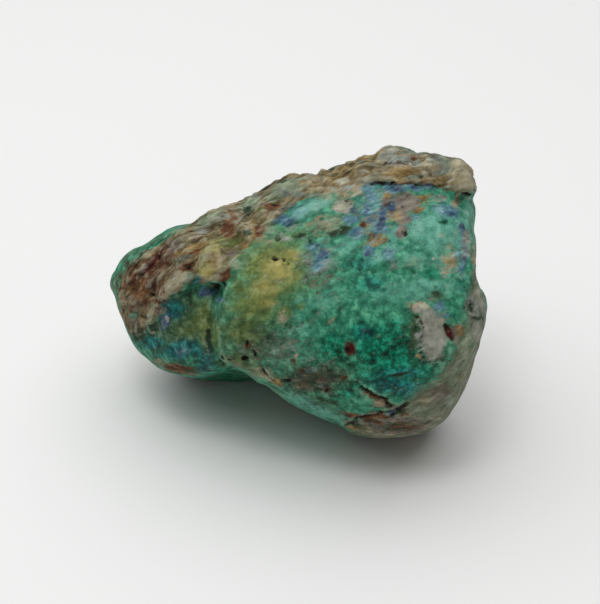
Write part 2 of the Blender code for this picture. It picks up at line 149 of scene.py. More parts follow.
# From the lowest layer to the one on top.
FINISHES = {
    Mineral.AQUA: CrustFinish((52, 124, 102), (92, 160, 138), (134, 196, 176), spread=0.27),
    Mineral.EMERALD: CrustFinish((0, 62, 44), (2, 118, 86), (66, 178, 140), spread=0.16),
    Mineral.DEEP: CrustFinish((0, 34, 24), (0, 99, 73), (24, 166, 130), spread=0.13),
    Mineral.MOSS: CrustFinish((18, 36, 20), (54, 84, 54), (102, 132, 96), spread=0.19),
    Mineral.TEAL: CrustFinish((0, 38, 42), (0, 88, 86), (40, 146, 140), spread=0.16),
    Mineral.TURQUOISE: CrustFinish((90, 148, 132), (112, 169, 151), (142, 192, 176), edge=0.3,
                                   spread=0.27),
    Mineral.ROCK: Finish((74, 80, 62), (108, 116, 94), (146, 152, 130), edge=0.34),
    Mineral.RIM: Finish((46, 34, 18), (106, 93, 64), (164, 152, 118), spread=0.16),
    Mineral.OLIVE: CrustFinish((56, 76, 34), (98, 114, 56), (140, 150, 84)),
    Mineral.YELLOW: CrustFinish((124, 118, 58), (160, 152, 86), (194, 188, 122)),
    Mineral.SAGE: Finish((84, 100, 78), (122, 136, 110), (166, 178, 152)),
    Mineral.GREY: Finish((84, 90, 82), (124, 130, 120), (172, 178, 168)),
    Mineral.TAN: Finish((108, 94, 68), (148, 136, 108), (190, 178, 150)),
    Mineral.QUARTZ: Finish((122, 119, 106), (145, 145, 132), (170, 171, 159), roughness=0.6, ragged=1.3,
                           streaked=False),
    Mineral.MAUVE: Finish((82, 74, 64), (116, 108, 96), (152, 144, 132)),
    Mineral.OCHRE: Finish((84, 64, 32), (132, 110, 68), (176, 154, 108)),
    Mineral.AZURE: Finish((44, 80, 104), (86, 126, 140), (140, 180, 182), roughness=0.58, edge=0.3,
                          spread=0.15),
    Mineral.INDIGO: Finish((22, 38, 60), (54, 76, 100), (94, 122, 142), roughness=0.58, edge=0.3,
                           spread=0.15),
    Mineral.RUST: Finish((44, 22, 10), (90, 56, 34), (136, 98, 68), spread=0.17),
    Mineral.CUPRITE: CrustFinish((34, 4, 4), (82, 22, 18), (138, 66, 52), roughness=0.7),
    Mineral.CREAM: Finish((136, 134, 112), (166, 164, 142), (196, 194, 176)),
    # The shade layer is partly painted shade and partly dark green stains.
    Mineral.SHADE: Finish((22, 36, 24), (40, 56, 40), (64, 82, 58), edge=0.3),
    # The dark layer is painted shade in holes, gaps and grooves.
    Mineral.DARK: Finish((8, 6, 4), (28, 22, 14), (52, 40, 26)),
}


class Mark(NamedTuple):
    """A patch of one mineral on the show side: its middle in pixels, its two radii, its tilt in degrees
    and how fully it covers what is under it."""

    name: str
    x: float
    y: float
    length: float
    width: float
    tilt: float = 0.0
    cover: float = 1.0


# What lies where on the show side. Where two minerals meet, the one named later in FINISHES is on top.
MARKS = {
    Mineral.AQUA: (
        Mark("shield_right", 436, 232, 27, 20, -10, 1.0),
        Mark("bright_shoulder", 419, 228, 10, 10, 0, 1.1),
        Mark("right_flank", 445, 262, 18, 18, 0, 0.75),
        Mark("over_inclusion", 425, 288, 26, 12, 10, 0.8),
        Mark("patch_foot", 393, 238, 8, 10, 0, 0.85),
        Mark("left_of_spot", 347, 247, 12, 9, 0, 0.8),
        Mark("middle_high", 378, 257, 10, 6, 25, 0.9),
        Mark("middle", 392, 290, 26, 12, 0, 0.6),
        Mark("pale_step", 376, 203, 7, 8, 0, 0.8),
        Mark("left_top", 268, 228, 7, 8, 40, 0.9),
        Mark("left_edge", 248, 260, 9, 9, 0, 0.7),
        Mark("above_yellow", 262, 243, 10, 7, 30, 0.6),
        Mark("foot_left", 300, 402, 22, 9, -22, 0.8),
        Mark("foot_right", 324, 413, 20, 8, -20, 0.9),
        Mark("inner", 320, 300, 20, 12, 0, 0.5),
        Mark("flank_low", 458, 285, 9, 10, 0, 0.7),
        Mark("flank_strip", 466, 215, 5, 17, -10, 0.9),
        Mark("under_patch", 413, 260, 14, 9, 0, 0.7),
        Mark("low_middle", 300, 330, 20, 16, 0, 0.45),
    ),
    Mineral.EMERALD: (
        Mark("left_of_red_spot", 335, 347, 13, 14),
        Mark("belly_bright", 378, 338, 22, 12, 0, 0.7),
        Mark("foot_point", 395, 406, 9, 6, 20, 0.9),
        Mark("right_bright", 433, 273, 9, 8, 0, 0.8),
        Mark("beside_inclusion", 414, 334, 5, 8, 0, 0.9),
        Mark("right_foot", 428, 372, 14, 7, 30, 0.7),
        Mark("middle_left", 312, 290, 9, 8, 0, 0.7),
        Mark("low_left", 300, 345, 12, 14, 0, 0.6),
        Mark("back_edge", 114, 278, 9, 24, -25, 1.7),
        Mark("back_high", 148, 243, 32, 6, 38, 1.4),
        Mark("lobe_middle", 192, 308, 10, 7, 0, 0.7),
        Mark("under_crease", 228, 372, 10, 7, 0, 0.7),
        Mark("belly_right", 402, 365, 18, 9, 0, 0.6),
        Mark("flank_bright", 460, 283, 4, 6, 0, 0.8),
    ),
    Mineral.DEEP: (
        Mark("belly", 388, 352, 40, 24, 0, 1.1),
        Mark("belly_wide", 350, 355, 36, 24, 0, 0.6),
        Mark("lobe_edge", 205, 355, 16, 16, 0, 0.7),
        Mark("belly_left", 361, 332, 10, 9),
        Mark("belly_foot", 397, 384, 26, 10, -10),
        Mark("belly_low_left", 350, 390, 12, 9, 0, 0.9),
        Mark("middle_teal", 370, 283, 20, 10, 0, 0.6),
        Mark("high_teal", 356, 262, 10, 7, 0, 0.7),
        Mark("crease_foot", 222, 372, 16, 8, 0, 0.8),
        Mark("lobe_low", 190, 360, 18, 7, 10, 0.8),
        Mark("lobe_high", 190, 290, 12, 6, 30, 0.7),
        Mark("belly_high", 398, 325, 12, 10, 0, 0.6),
        Mark("foot_green", 333, 398, 14, 7, 0, 0.5),
        Mark("belly_edge", 360, 372, 14, 9, -30, 0.8),
        Mark("inclusion_left", 406, 345, 6, 16, 0, 0.7),
        Mark("pool_speck", 444, 221, 4, 3, 0, 0.9),
    ),
    Mineral.OLIVE: (
        Mark("yellow_halo", 274, 268, 36, 32, 0, 0.95),
        Mark("low", 256, 302, 26, 22, 0, 0.9),
        Mark("between", 268, 284, 22, 18, 0, 0.9),
        Mark("left", 240, 288, 10, 14, 0, 0.8),
        Mark("dull", 243, 302, 14, 14, 0, 0.7),
        Mark("crease_left", 205, 325, 6, 22),
        Mark("lobe", 190, 330, 12, 9, 0, 0.5),
        Mark("crease_right", 217, 335, 6, 18, 0, 0.7),
        Mark("low_middle", 285, 312, 10, 12, 0, 0.7),
        Mark("dull_low", 242, 330, 22, 18, 0, 0.7),
        Mark("low_left", 240, 362, 22, 12, -15, 0.6),
        Mark("brow_left", 262, 212, 6, 5, 0, 0.8),
        Mark("lobe_field", 198, 326, 12, 18, 0, 0.5),
        Mark("rim", 228, 242, 16, 7, 10, 0.8),
        Mark("middle_spots", 300, 306, 6, 4, 0, 0.7),
        Mark("foot", 355, 430, 14, 4, 0, 0.7),
        Mark("right_flank", 465, 335, 5, 9, 0, 0.6),
    ),
    Mineral.YELLOW: (
        Mark("shield", 278, 268, 17, 12, -20, 0.8),
        Mark("shield_right", 292, 256, 8, 6, 0, 0.8),
        Mark("shield_left", 264, 288, 14, 11, 0, 0.6),
        Mark("nodule", 211, 257, 9, 13, 0, 1.1),
        Mark("nodule_foot", 205, 272, 8, 7, 0, 0.8),
        Mark("knob", 463, 170, 7, 12, 0, 0.55),
        Mark("low", 268, 303, 10, 5, 0, 0.6),
    ),
    Mineral.MOSS: (
        Mark("lobe", 188, 325, 28, 32, 0, 1.2),
        Mark("lobe_left", 160, 338, 16, 16, 0, 0.9),
        Mark("low_dull", 252, 338, 30, 26, 0, 0.75),
        Mark("back_edge", 116, 286, 5, 16, -15, 0.6),
        Mark("back_high", 148, 243, 24, 5, 38, 0.8),
        Mark("low_band", 316, 378, 38, 16, 8, 0.85),
        Mark("crease_foot", 235, 365, 24, 10, 0, 0.6),
        Mark("beside_inclusion", 415, 332, 7, 22, -5, 0.95),
        Mark("above_inclusion", 437, 297, 11, 6, 0, 0.75),
        Mark("shield_high", 300, 235, 10, 5, 20, 0.7),
        Mark("foot", 385, 405, 12, 6, 0, 0.7),
        Mark("foot_green", 325, 402, 24, 8, -18, 0.6),
    ),
    Mineral.TEAL: (
        Mark("lobe_top", 167, 309, 14, 8, 0, 1.35),
        Mark("lobe_right", 205, 352, 8, 17, 10, 1.1),
        Mark("lobe_band", 184, 350, 22, 8, 8, 1.15),
        Mark("lobe_left", 152, 343, 12, 6, 0, 1.05),
        Mark("lobe_low", 206, 368, 9, 5),
        Mark("middle", 362, 264, 16, 10, 0, 0.5),
        Mark("middle_low", 370, 283, 14, 9, 0, 0.5),
        Mark("belly_foot", 395, 386, 24, 8, -10, 1.05),
        Mark("belly_low", 400, 373, 22, 5, 0, 0.9),
        Mark("belly_high", 365, 332, 12, 8, 0, 0.6),
        Mark("brow", 372, 197, 5, 8, 0, 0.7),
    ),
    Mineral.TURQUOISE: (
        Mark("brow_right", 317, 204, 13, 6, 22, 1.1),
        Mark("brow_left", 299, 214, 10, 5, 28),
        Mark("brow_tail", 328, 198, 5, 4, 0, 0.8),
        Mark("shoulder", 417, 227, 8, 8, 0, 0.8),
        Mark("step", 379, 256, 6, 4, 25, 0.7),
    ),
    Mineral.SAGE: (
        Mark("rim_middle", 285, 188, 18, 9, 15, 1.0),
        Mark("rim_left_high", 250, 205, 12, 7, 20, 0.95),
        Mark("rim_left", 215, 218, 24, 8, 15, 0.7),
        Mark("brow_fade", 322, 196, 30, 6, -10, 0.62),
        Mark("brow_fade_left", 270, 228, 8, 16, 42, 0.5),
        Mark("knob_foot", 469, 184, 8, 9, 0, 0.9),
        Mark("ring_nodule", 235, 264, 6, 6, 0, 0.9),
        Mark("ridge_end", 188, 277, 7, 5, 30, 0.9),
        Mark("under_brow", 326, 222, 24, 9, 5, 0.62),
        Mark("right_flank", 450, 262, 12, 20, 0, 0.45),
        Mark("shield", 413, 262, 14, 8, 0, 0.5),
        Mark("back_plate", 180, 230, 10, 4, 0, 0.7),
        Mark("right_rock", 470, 345, 7, 16),
        Mark("rim_hollow", 446, 167, 7, 8, 0, 0.9),
        Mark("crest_left", 270, 198, 7, 3, 0, 0.8),
        Mark("low_slope", 252, 374, 9, 6, -20, 0.8),
        Mark("low_slope_right", 268, 372, 8, 4, -30, 0.8),
        Mark("foot_rock", 455, 378, 10, 14, -30, 0.5),
    ),
    Mineral.GREY: (
        Mark("crown", 394, 148, 10, 5),
        Mark("crown_right", 405, 157, 9, 4, 0, 0.9),
        Mark("crown_far", 438, 157, 12, 5, 0, 0.7),
        Mark("crown_hollow", 415, 164, 8, 5, 0, 0.7),
        Mark("plate", 200, 233, 14, 5, 15, 0.55),
        Mark("brow", 342, 188, 18, 4),
        Mark("rim", 290, 193, 14, 4, 0, 0.8),
        Mark("crest_left", 255, 197, 8, 3, 0, 0.8),
        Mark("brow_right", 440, 197, 8, 6, 0, 0.6),
        Mark("flank", 466, 248, 4, 14, 0, 0.8),
        Mark("inclusion", 432, 334, 12, 22, -8, 1.0),
        Mark("shield_flecks", 318, 262, 26, 34, 0, 0.42),
        Mark("blue_flecks", 372, 214, 20, 28, 0, 0.46),
        Mark("rim_top", 400, 156, 40, 6, 3, 0.75),
        Mark("boss", 476, 305, 10, 16, 0, 0.9),
        Mark("mottled_low", 322, 385, 10, 6, 0, 0.55),
        Mark("low_flecks", 290, 345, 38, 26, 0, 0.42),
        Mark("low_specks", 310, 370, 7, 4, 0, 0.8),
        Mark("shield_high", 292, 228, 8, 4, 20, 0.7),
        Mark("shield_high_low", 285, 237, 8, 4, 0, 0.8),
        Mark("shield_right", 394, 265, 5, 6, 0, 0.55),
        Mark("foot_edge", 450, 405, 4, 10, -30, 0.6),
    ),
    Mineral.TAN: (
        Mark("rim_pale", 366, 180, 12, 4, 0, 0.9),
        Mark("rim_ledge", 385, 173, 12, 5, 0, 0.8),
        Mark("rim_ledge_right", 430, 168, 12, 7, 0, 0.7),
        Mark("knob", 465, 174, 12, 18),
        Mark("pale_patch", 345, 204, 11, 8, 0, 0.75),
        Mark("brow_pink", 357, 189, 6, 6, 0, 0.9),
        Mark("brow_left", 323, 189, 8, 4, 0, 0.9),
        Mark("brow_fade", 345, 193, 26, 6, -4, 0.62),
        Mark("brow_fade_left", 262, 236, 9, 16, 40, 0.5),
        Mark("rim", 312, 180, 14, 6, 10, 0.8),
        Mark("rim_pink", 268, 214, 9, 5, 10, 0.9),
        Mark("gap", 250, 228, 6, 12, 0, 0.7),
        Mark("nodule_side", 219, 262, 3, 10, -5, 0.9),
        Mark("ridge", 172, 286, 16, 7, 38, 0.8),
        Mark("ridge_foot", 164, 296, 5, 5),
        Mark("rim_low", 180, 272, 10, 6, 0, 0.8),
        Mark("tip", 124, 300, 5, 10, 0, 0.8),
        Mark("cobble", 152, 311, 5, 5, 0, 0.8),
        Mark("lobe_foot", 192, 375, 12, 3, -5, 0.7),
        Mark("lobe_foot_left", 160, 363, 10, 5, -30, 0.6),
        Mark("low_edge", 262, 374, 12, 3, -33, 0.8),
        Mark("low_shield", 284, 318, 6, 9, 0, 0.6),
        Mark("fleck", 332, 322, 3, 4, 0, 0.6),
        Mark("right_flank", 449, 258, 14, 24, 0, 0.52),
        Mark("under_brow", 325, 226, 24, 11, 0, 0.52),
        Mark("blue_flecks", 374, 216, 20, 28, 0, 0.43),
        Mark("fleck_left", 268, 340, 3, 4, 0, 0.55),
        Mark("foot", 375, 431, 22, 6, 0, 0.6),
        Mark("foot_spot", 379, 403, 6, 4, 0, 0.9),
        Mark("inclusion_top", 418, 307, 9, 5, -5),
        Mark("hole_side", 461, 330, 4, 6, 0, 0.8),
        Mark("right_strip", 474, 252, 3, 20, 0, 0.8),
        Mark("brow_strip", 455, 205, 4, 9, -15, 0.8),
        Mark("pale_ridge", 458, 194, 2.4, 12, -22, 0.8),
    ),
    Mineral.QUARTZ: (
        Mark("inclusion", 435, 340, 10, 18, -6, 1.25),
        Mark("inclusion_high", 429, 322, 9, 10, -25, 1.1),
        Mark("inclusion_top", 420, 309, 8, 4, -5, 0.9),
        Mark("pale_patch", 343, 207, 10, 6, 0, 1.05),
        Mark("crown", 394, 149, 9, 4, 0, 0.8),
        Mark("boss", 478, 300, 5, 9, 0, 0.6),
        Mark("right_rock", 478, 332, 5, 10, 0, 0.9),
    ),
    Mineral.MAUVE: (
        Mark("patch", 405, 203, 16, 10, 0, 1.1),
        Mark("patch_low", 404, 217, 9, 8),
        Mark("patch_tail", 402, 231, 5, 9, -10),
        Mark("crown_streak", 396, 163, 11, 3, 0, 0.9),
        Mark("rim", 228, 253, 9, 5, 0, 0.8),
        Mark("rim_left", 155, 283, 6, 9, 0, 0.9),
        Mark("cobble", 160, 311, 6, 5),
        Mark("tip", 137, 308, 12, 10, 0, 0.55),
        Mark("tip_low", 132, 322, 8, 5, -20, 0.8),
        Mark("plate", 172, 246, 10, 6, 20, 0.8),
        Mark("hole_side", 455, 334, 4, 7, 15),
        Mark("foot_pink", 440, 396, 12, 8, 30, 0.8),
        Mark("foot_brown", 400, 427, 36, 10, 0, 0.9),
        Mark("low", 306, 380, 8, 6, 0, 0.65),
        Mark("low_band", 316, 380, 30, 14, 8, 0.56),
        Mark("low_right", 322, 390, 7, 4, 0, 0.6),
        Mark("flank", 464, 236, 4, 8, 0, 0.7),
        Mark("shield", 310, 262, 7, 5, 0, 0.6),
        Mark("above_inclusion", 430, 299, 6, 4, 0, 0.7),
        Mark("low_left", 236, 368, 6, 5, 0, 0.7),
        Mark("low_flecks", 278, 352, 34, 22, 0, 0.43),
        Mark("shield_flecks", 325, 280, 30, 36, 0, 0.33),
        Mark("under_yellow", 278, 281, 10, 4, -10, 0.5),
    ),
    Mineral.OCHRE: (
        Mark("crown_left", 368, 160, 13, 5, 15),
        Mark("rim_left", 345, 173, 11, 6, 10),
        Mark("rim", 400, 173, 16, 6, 5),
        Mark("ledge", 400, 181, 10, 3, 0, 0.9),
        Mark("ledge_right", 430, 181, 16, 4, 0, 0.8),
        Mark("crest", 331, 177, 9, 6, 20, 0.8),
        Mark("patch_left", 387, 197, 6, 8),
        Mark("patch_right", 425, 198, 9, 5, 0, 0.7),
        Mark("patch_low", 394, 215, 8, 7, 0, 0.9),
        Mark("patch_edge", 419, 209, 7, 3, 15, 0.8),
        Mark("rust_spot", 376, 240, 10, 6, 5, 1.1),
        Mark("slanted_spot", 370, 221, 8, 3, 25),
        Mark("flank_spot", 451, 262, 8, 5, -10, 0.6),
        Mark("gap", 253, 232, 4, 11, 0, 0.9),
        Mark("gap_low", 244, 246, 6, 4, 45, 0.8),
        Mark("orange_band", 192, 250, 18, 4, 14, 1.2),
        Mark("tip", 136, 296, 22, 26, 0, 0.46),
        Mark("nodule", 213, 259, 9, 12, 0, 0.55),
        Mark("nodule_foot", 204, 280, 5, 4, 0, 0.9),
        Mark("hole_side", 461, 331, 4, 6),
        Mark("inclusion_foot", 419, 355, 3, 2.4, 0, 0.7),
        Mark("low", 277, 382, 6, 4, -20),
        Mark("low_right", 300, 385, 5, 3, 0, 0.8),
        Mark("lobe_foot", 181, 369, 12, 3, -8),
        Mark("foot", 352, 428, 8, 3, 0, 0.7),
    ),
    Mineral.AZURE: (
        Mark("patch_field", 374, 214, 22, 32, 0, 0.55),
        Mark("brow_field", 296, 212, 18, 10, 25, 0.5),
        Mark("flank_field", 461, 240, 6, 34, 4, 0.5),
        Mark("middle_field", 318, 256, 12, 16, 0, 0.5),
        Mark("brow_left", 370, 187, 9, 4, 10),
        Mark("brow_middle", 390, 188, 9, 5, 0, 0.9),
        Mark("brow_right", 410, 188, 14, 4, 0, 0.8),
        Mark("beside_patch", 371, 197, 6, 7, 0, 0.9),
        Mark("spot", 366, 210, 4, 6),
        Mark("middle", 357, 233, 9, 5),
        Mark("middle_left", 352, 220, 8, 5, 0, 0.9),
        Mark("under_patch", 378, 229, 9, 5, 10, 0.9),
        Mark("pool", 446, 211, 12, 6, -10),
        Mark("right_of_spot", 389, 253, 6, 6, 0, 0.9),
        Mark("below_spot", 369, 251, 7, 6, 0, 0.9),
        Mark("flank", 462, 265, 4, 11, 0, 0.8),
        Mark("flank_left", 459, 255, 5, 5, 0, 0.8),
        Mark("shield_left", 284, 220, 8, 5, 20),
        Mark("shield", 321, 258, 8, 8, 0, 0.8),
        Mark("shield_low", 318, 267, 5, 5, 0, 0.9),
        Mark("shield_high", 312, 246, 7, 4, 0, 0.7),
        Mark("lobe", 184, 351, 5, 4, 0, 0.6),
        Mark("lobe_right", 220, 300, 5, 4, 0, 0.7),
        Mark("lobe_top", 197, 281, 5, 4, 30, 0.6),
        Mark("violet", 440, 307, 5, 5),
        Mark("violet_low", 446, 315, 4, 3, 0, 0.7),
        Mark("low_specks", 310, 370, 6, 4, 0, 0.6),
        Mark("patch_right", 416, 217, 5, 4, 0, 0.7),
        Mark("patch_left", 383, 215, 4, 10, 0, 0.8),
    ),
    Mineral.INDIGO: (
        Mark("brow", 397, 189, 6, 4),
        Mark("brow_right", 414, 187, 5, 3, 0, 0.9),
        Mark("brow_dark", 430, 187, 9, 3, 0, 0.9),
        Mark("patch_hollow", 391, 206, 6, 5),
        Mark("patch_left", 383, 216, 3, 9),
        Mark("patch_left_foot", 380, 226, 4, 4, 0, 0.9),
        Mark("flank", 461, 228, 3, 4),
        Mark("flank_low", 466, 262, 2.5, 5, 0, 0.8),
        Mark("grey_spot", 354, 211, 4, 3, 0, 0.8),
        Mark("shield", 323, 254, 5, 4, -20, 0.9),
        Mark("shield_left", 317, 245, 4, 3, 0, 0.8),
        Mark("shield_line", 291, 222, 9, 2.5, 25, 0.9),
        Mark("lobe", 165, 323, 5, 7, -30),
        Mark("lobe_navy", 206, 292, 8, 5),
        Mark("lobe_spot", 180, 352, 4, 4, 0, 0.8),
        Mark("middle", 358, 234, 4, 3, 0, 0.7),
        Mark("below_spot", 367, 252, 4, 3, 0, 0.7),
        Mark("pool", 451, 215, 3, 3, 0, 0.7),
        Mark("lobe_right", 219, 300, 3, 2.5, 0, 0.7),
        Mark("foot", 391, 415, 5, 4, 0, 0.7),
        Mark("spot", 366, 210, 2.5, 3.5, 0, 0.8),
    ),
    Mineral.RUST: (
        Mark("gap", 272, 206, 11, 3),
        Mark("left", 228, 229, 6, 10),
        Mark("left_right", 259, 230, 5, 6, 30),
        Mark("left_high", 232, 215, 4, 5, 0, 0.8),
        Mark("tip_wide", 142, 284, 26, 28, 0, 0.72),
        Mark("tip", 138, 279, 12, 11, 30, 1.0),
        Mark("far_left", 156, 264, 20, 10, 42, 0.85),
        Mark("tip_low", 133, 288, 5, 5, 0, 0.9),
        Mark("ridge_line", 156, 301, 8, 3, 0, 0.9),
        Mark("nodule_hollow", 224, 276, 8, 5, 10),
        Mark("ridge_hollow", 187, 267, 7, 5, 0, 0.9),
        Mark("tip_brown", 130, 308, 8, 7, 0, 0.7),
        Mark("band", 194, 252, 6, 2, 10, 0.9),
        Mark("low", 294, 364, 4, 5, -30, 0.7),
        Mark("low_right", 302, 372, 5, 4, 0, 0.8),
        Mark("foot_line", 374, 397, 10, 3.4, -25),
        Mark("foot_border", 362, 419, 24, 4, -16, 0.85),
        Mark("foot_border_right", 398, 411, 14, 4, -28, 0.8),
        Mark("foot_line_low", 379, 416, 9, 3.6, -10),
        Mark("lobe_foot", 178, 369, 18, 5, -10, 0.8),
        Mark("low_spot", 344, 378, 5, 4, 0, 0.8),
        Mark("plate", 192, 237, 18, 7, 15, 0.45),
        Mark("low_band", 314, 380, 28, 13, 8, 0.36),
        Mark("foot", 402, 430, 18, 6, 0, 0.7),
        Mark("tip_band", 148, 290, 12, 12, 0, 0.6),
        Mark("low_hole", 248, 347, 5, 5, 0, 0.7),
        Mark("patch_left", 387, 204, 4, 4, 0, 0.7),
        Mark("crown", 347, 173, 4, 2, 0, 0.7),
        Mark("low_crack", 327, 390, 5, 3, 0, 0.8),
        Mark("slanted_end", 364, 224, 3, 3, 0, 0.9),
    ),
    Mineral.CUPRITE: (
        Mark("red_spot", 350, 349, 4.2, 6, 10, 1.3),
        Mark("inclusion_hole", 449, 332, 3.2, 7, 20, 1.2),
        Mark("red_crack", 158, 256, 8, 4, 45, 0.9),
        Mark("red_crack_low", 149, 267, 7, 3.5, 50, 0.9),
    ),
    Mineral.CREAM: (
        Mark("crown", 394, 147, 6, 3),
        Mark("rim", 343, 181, 8, 3, 0, 0.9),
        Mark("rim_right", 366, 180, 6, 2.5, 0, 0.8),
        Mark("patch", 340, 207, 6, 3, 0, 0.9),
        Mark("inclusion_top", 425, 307, 5, 2.5, 0, 0.8),
        # A painted highlight on the inclusion.
        Mark("inclusion_glint", 442, 321, 3, 4, -30, 0.9),
        Mark("boss_fleck", 478, 293, 3, 3, 0, 0.9),
        Mark("boss_fleck_low", 470, 314, 3, 2, 0, 0.8),
        Mark("violet_fleck", 168, 319, 2, 2.4, 0, 0.8),
        Mark("lobe_foot", 195, 376, 4, 1.4, 0, 0.6),
        Mark("yellow_fleck", 267, 276, 2, 2, 0, 0.7),
        Mark("ring_fleck", 229, 266, 2, 3, 0, 0.7),
        Mark("foot_tip", 341, 433, 4, 2.5, -30, 0.9),
        Mark("shield_fleck", 433, 260, 1.8, 1.8, 0, 0.8),
        Mark("low_fleck", 297, 355, 2, 3, 0, 0.6),
        Mark("lobe_fleck", 151, 331, 2.5, 3, 0, 0.7),
        Mark("belly_fleck", 357, 300, 2, 2, 0, 0.6),
        Mark("middle_fleck", 336, 297, 2, 2, 0, 0.6),
    ),
    # Partly painted shade, at the tip, along the feet, in the crease and under the crown; partly dark green
    # stains, such as the streaks.
    Mineral.SHADE: (
        Mark("streak", 344, 230, 9, 3.5, 12),
        Mark("streak_left", 334, 233, 6, 3, 20, 0.9),
        Mark("rim", 247, 211, 5, 4, 0, 0.9),
        Mark("foot_rock", 398, 428, 40, 8, 0, 0.54),
        Mark("lobe_foot", 190, 372, 30, 7, 8, 0.5),
        Mark("foot_green", 318, 402, 30, 8, 22, 0.47),
        Mark("low_left", 240, 360, 26, 12, 0, 0.44),
        Mark("belly_foot", 392, 388, 26, 10, -10, 0.44),
        Mark("low_flecks", 262, 335, 34, 26, 0, 0.4),
        Mark("crown_foot", 415, 178, 16, 2.4, 0, 0.7),
        Mark("rim_low", 247, 232, 5, 4, 0, 0.9),
        Mark("crest_left", 265, 188, 7, 3, 30, 0.8),
        Mark("crest", 282, 181, 6, 3, 20, 0.7),
        Mark("tip", 138, 335, 8, 8, 0, 0.9),
        Mark("tip_low", 154, 326, 6, 7, 0, 0.9),
        Mark("crease", 209, 338, 3, 14, 12),
        Mark("low", 330, 373, 11, 6, 0, 0.9),
        Mark("low_band", 314, 379, 32, 14, 8, 0.66),
        Mark("low_left", 287, 380, 7, 3, 0, 0.9),
        Mark("shield_high", 276, 238, 5, 3, 0, 0.7),
        Mark("belly", 404, 327, 4, 5, 0, 0.8),
        Mark("belly_low", 412, 345, 4, 6, 0, 0.8),
        Mark("spot", 300, 235, 4, 2.5, 20, 0.8),
        Mark("spot_right", 309, 241, 2.5, 5, 0, 0.8),
        Mark("boss", 470, 307, 5, 6, 0, 0.8),
        Mark("boss_low", 477, 318, 7, 3, 0, 0.8),
        Mark("above_inclusion", 437, 295, 6, 5, 0, 0.7),
        Mark("crown_gap", 363, 163, 5, 3, 0, 0.8),
        Mark("crown_right", 452, 163, 2, 3, 0, 0.5),
        Mark("belly_line", 400, 374, 15, 1.8, 0, 0.9),
        Mark("foot_edge", 400, 410, 8, 4, -20, 0.9),
        Mark("foot_border", 352, 424, 14, 3, -22, 0.8),
        Mark("inclusion_foot", 440, 359, 8, 3, 5, 0.8),
    ),
    # Painted shade in holes, in gaps under ledges and in hollows.
    Mineral.DARK: (
        Mark("shield_hole", 275, 258, 2.4, 1.8),
        Mark("shield_hole_right", 283.5, 259, 1.8, 1.4, -30),
        Mark("low_hole", 244, 359, 2.8, 2.6, 0, 1.1),
        Mark("low_hole_high", 248, 344, 1.8, 3.2),
        Mark("low_hole_left", 230, 360, 1.6, 1.5),
        Mark("low_hole_right", 254, 353, 1.3, 4, 0, 0.9),
        Mark("crease_hole", 223, 284, 3.4, 3.4, 0, 0.8),
        Mark("crease_foot", 221, 359, 3.4, 2, -40, 0.9),
        Mark("patch_hole", 405, 233, 1.5, 2.2),
        Mark("pale_hole", 346, 200, 2, 1.4, 0, 0.9),
        Mark("brow_gap_left", 382, 183, 4.5, 1.3),
        Mark("brow_gap_right", 393, 183, 3.4, 1.4, 10),
        Mark("knob_gap", 467, 194, 5, 1.8, -15),
        Mark("rim_gap", 274, 205, 3, 1.4, 0, 0.8),
        Mark("red_spot_side", 347, 350, 1.8, 3.4, 0, 0.9),
        Mark("inclusion_hole", 446, 327, 2, 4, 25, 0.85),
        Mark("inclusion_hole_foot", 451, 339, 1.8, 3, 20, 0.7),
        Mark("foot_gap", 383, 399, 4, 1.6, -15, 0.9),
        Mark("foot_gap_left", 368, 392, 5, 1.8, -30, 0.8),
        Mark("foot_gap_low", 392, 416, 2.6, 2.2, 0, 0.8),
        Mark("low_hollow", 286, 380, 4, 1.8, 0, 0.9),
        Mark("low_ring", 327, 391, 3, 1.8, 0, 0.8),
        Mark("ridge_hole", 188, 267, 3, 2.2, 0, 0.8),
        Mark("red_hole", 157, 257, 3.5, 3, 0, 0.8),
        Mark("ridge_hollow", 152, 296, 3, 2, 0, 0.7),
    ),
}


# Where wear has smoothed the cobbles of the rim: the cover is how much of them it took.
CALM = (
    Mark("knob", 465, 176, 17, 22, 0, 1.4),
    Mark("nodule", 211, 257, 11, 15, 0, 1.2),
    Mark("ridge", 174, 286, 20, 8, 38, 1.2),
    Mark("plate", 195, 234, 24, 7, 15, 1.0),
    Mark("ring", 235, 264, 7, 7, 0, 0.8),
    Mark("cobble", 152, 311, 8, 7),
    Mark("tip", 128, 300, 8, 14, 0, 0.8),
    Mark("rim_middle", 290, 188, 26, 9, 15, 0.7),
)


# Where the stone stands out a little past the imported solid: the cover is the height in millimetres.
LIFTS = (
    Mark("crown_far", 432, 160, 24, 8, 0, 0.45),
    Mark("knob_top", 458, 165, 7, 7, 0, 0.5),
    Mark("tip_back", 130, 258, 14, 8, 38, 0.75),
    Mark("rim_left", 219, 214, 12, 8, 15, 0.5),
    Mark("rim_high", 368, 164, 8, 8, 0, 0.4),
    Mark("knob_corner", 476, 182, 4, 6, 0, 0.3),
    Mark("right_side", 477, 232, 10, 34, 0, 0.4),
    Mark("boss", 483, 300, 8, 22, 0, 0.5),
    Mark("tip_end", 113, 275, 8, 12, 0, 0.24),
)


class Groove(NamedTuple):
    """A thin crack or the foot of a ledge: its course in pixels, its half width and depth in
    millimetres, and how dark its floor is painted, which is painted shade."""

    name: str
    course: Course
    width: float
    depth: float
    floor_shade: float
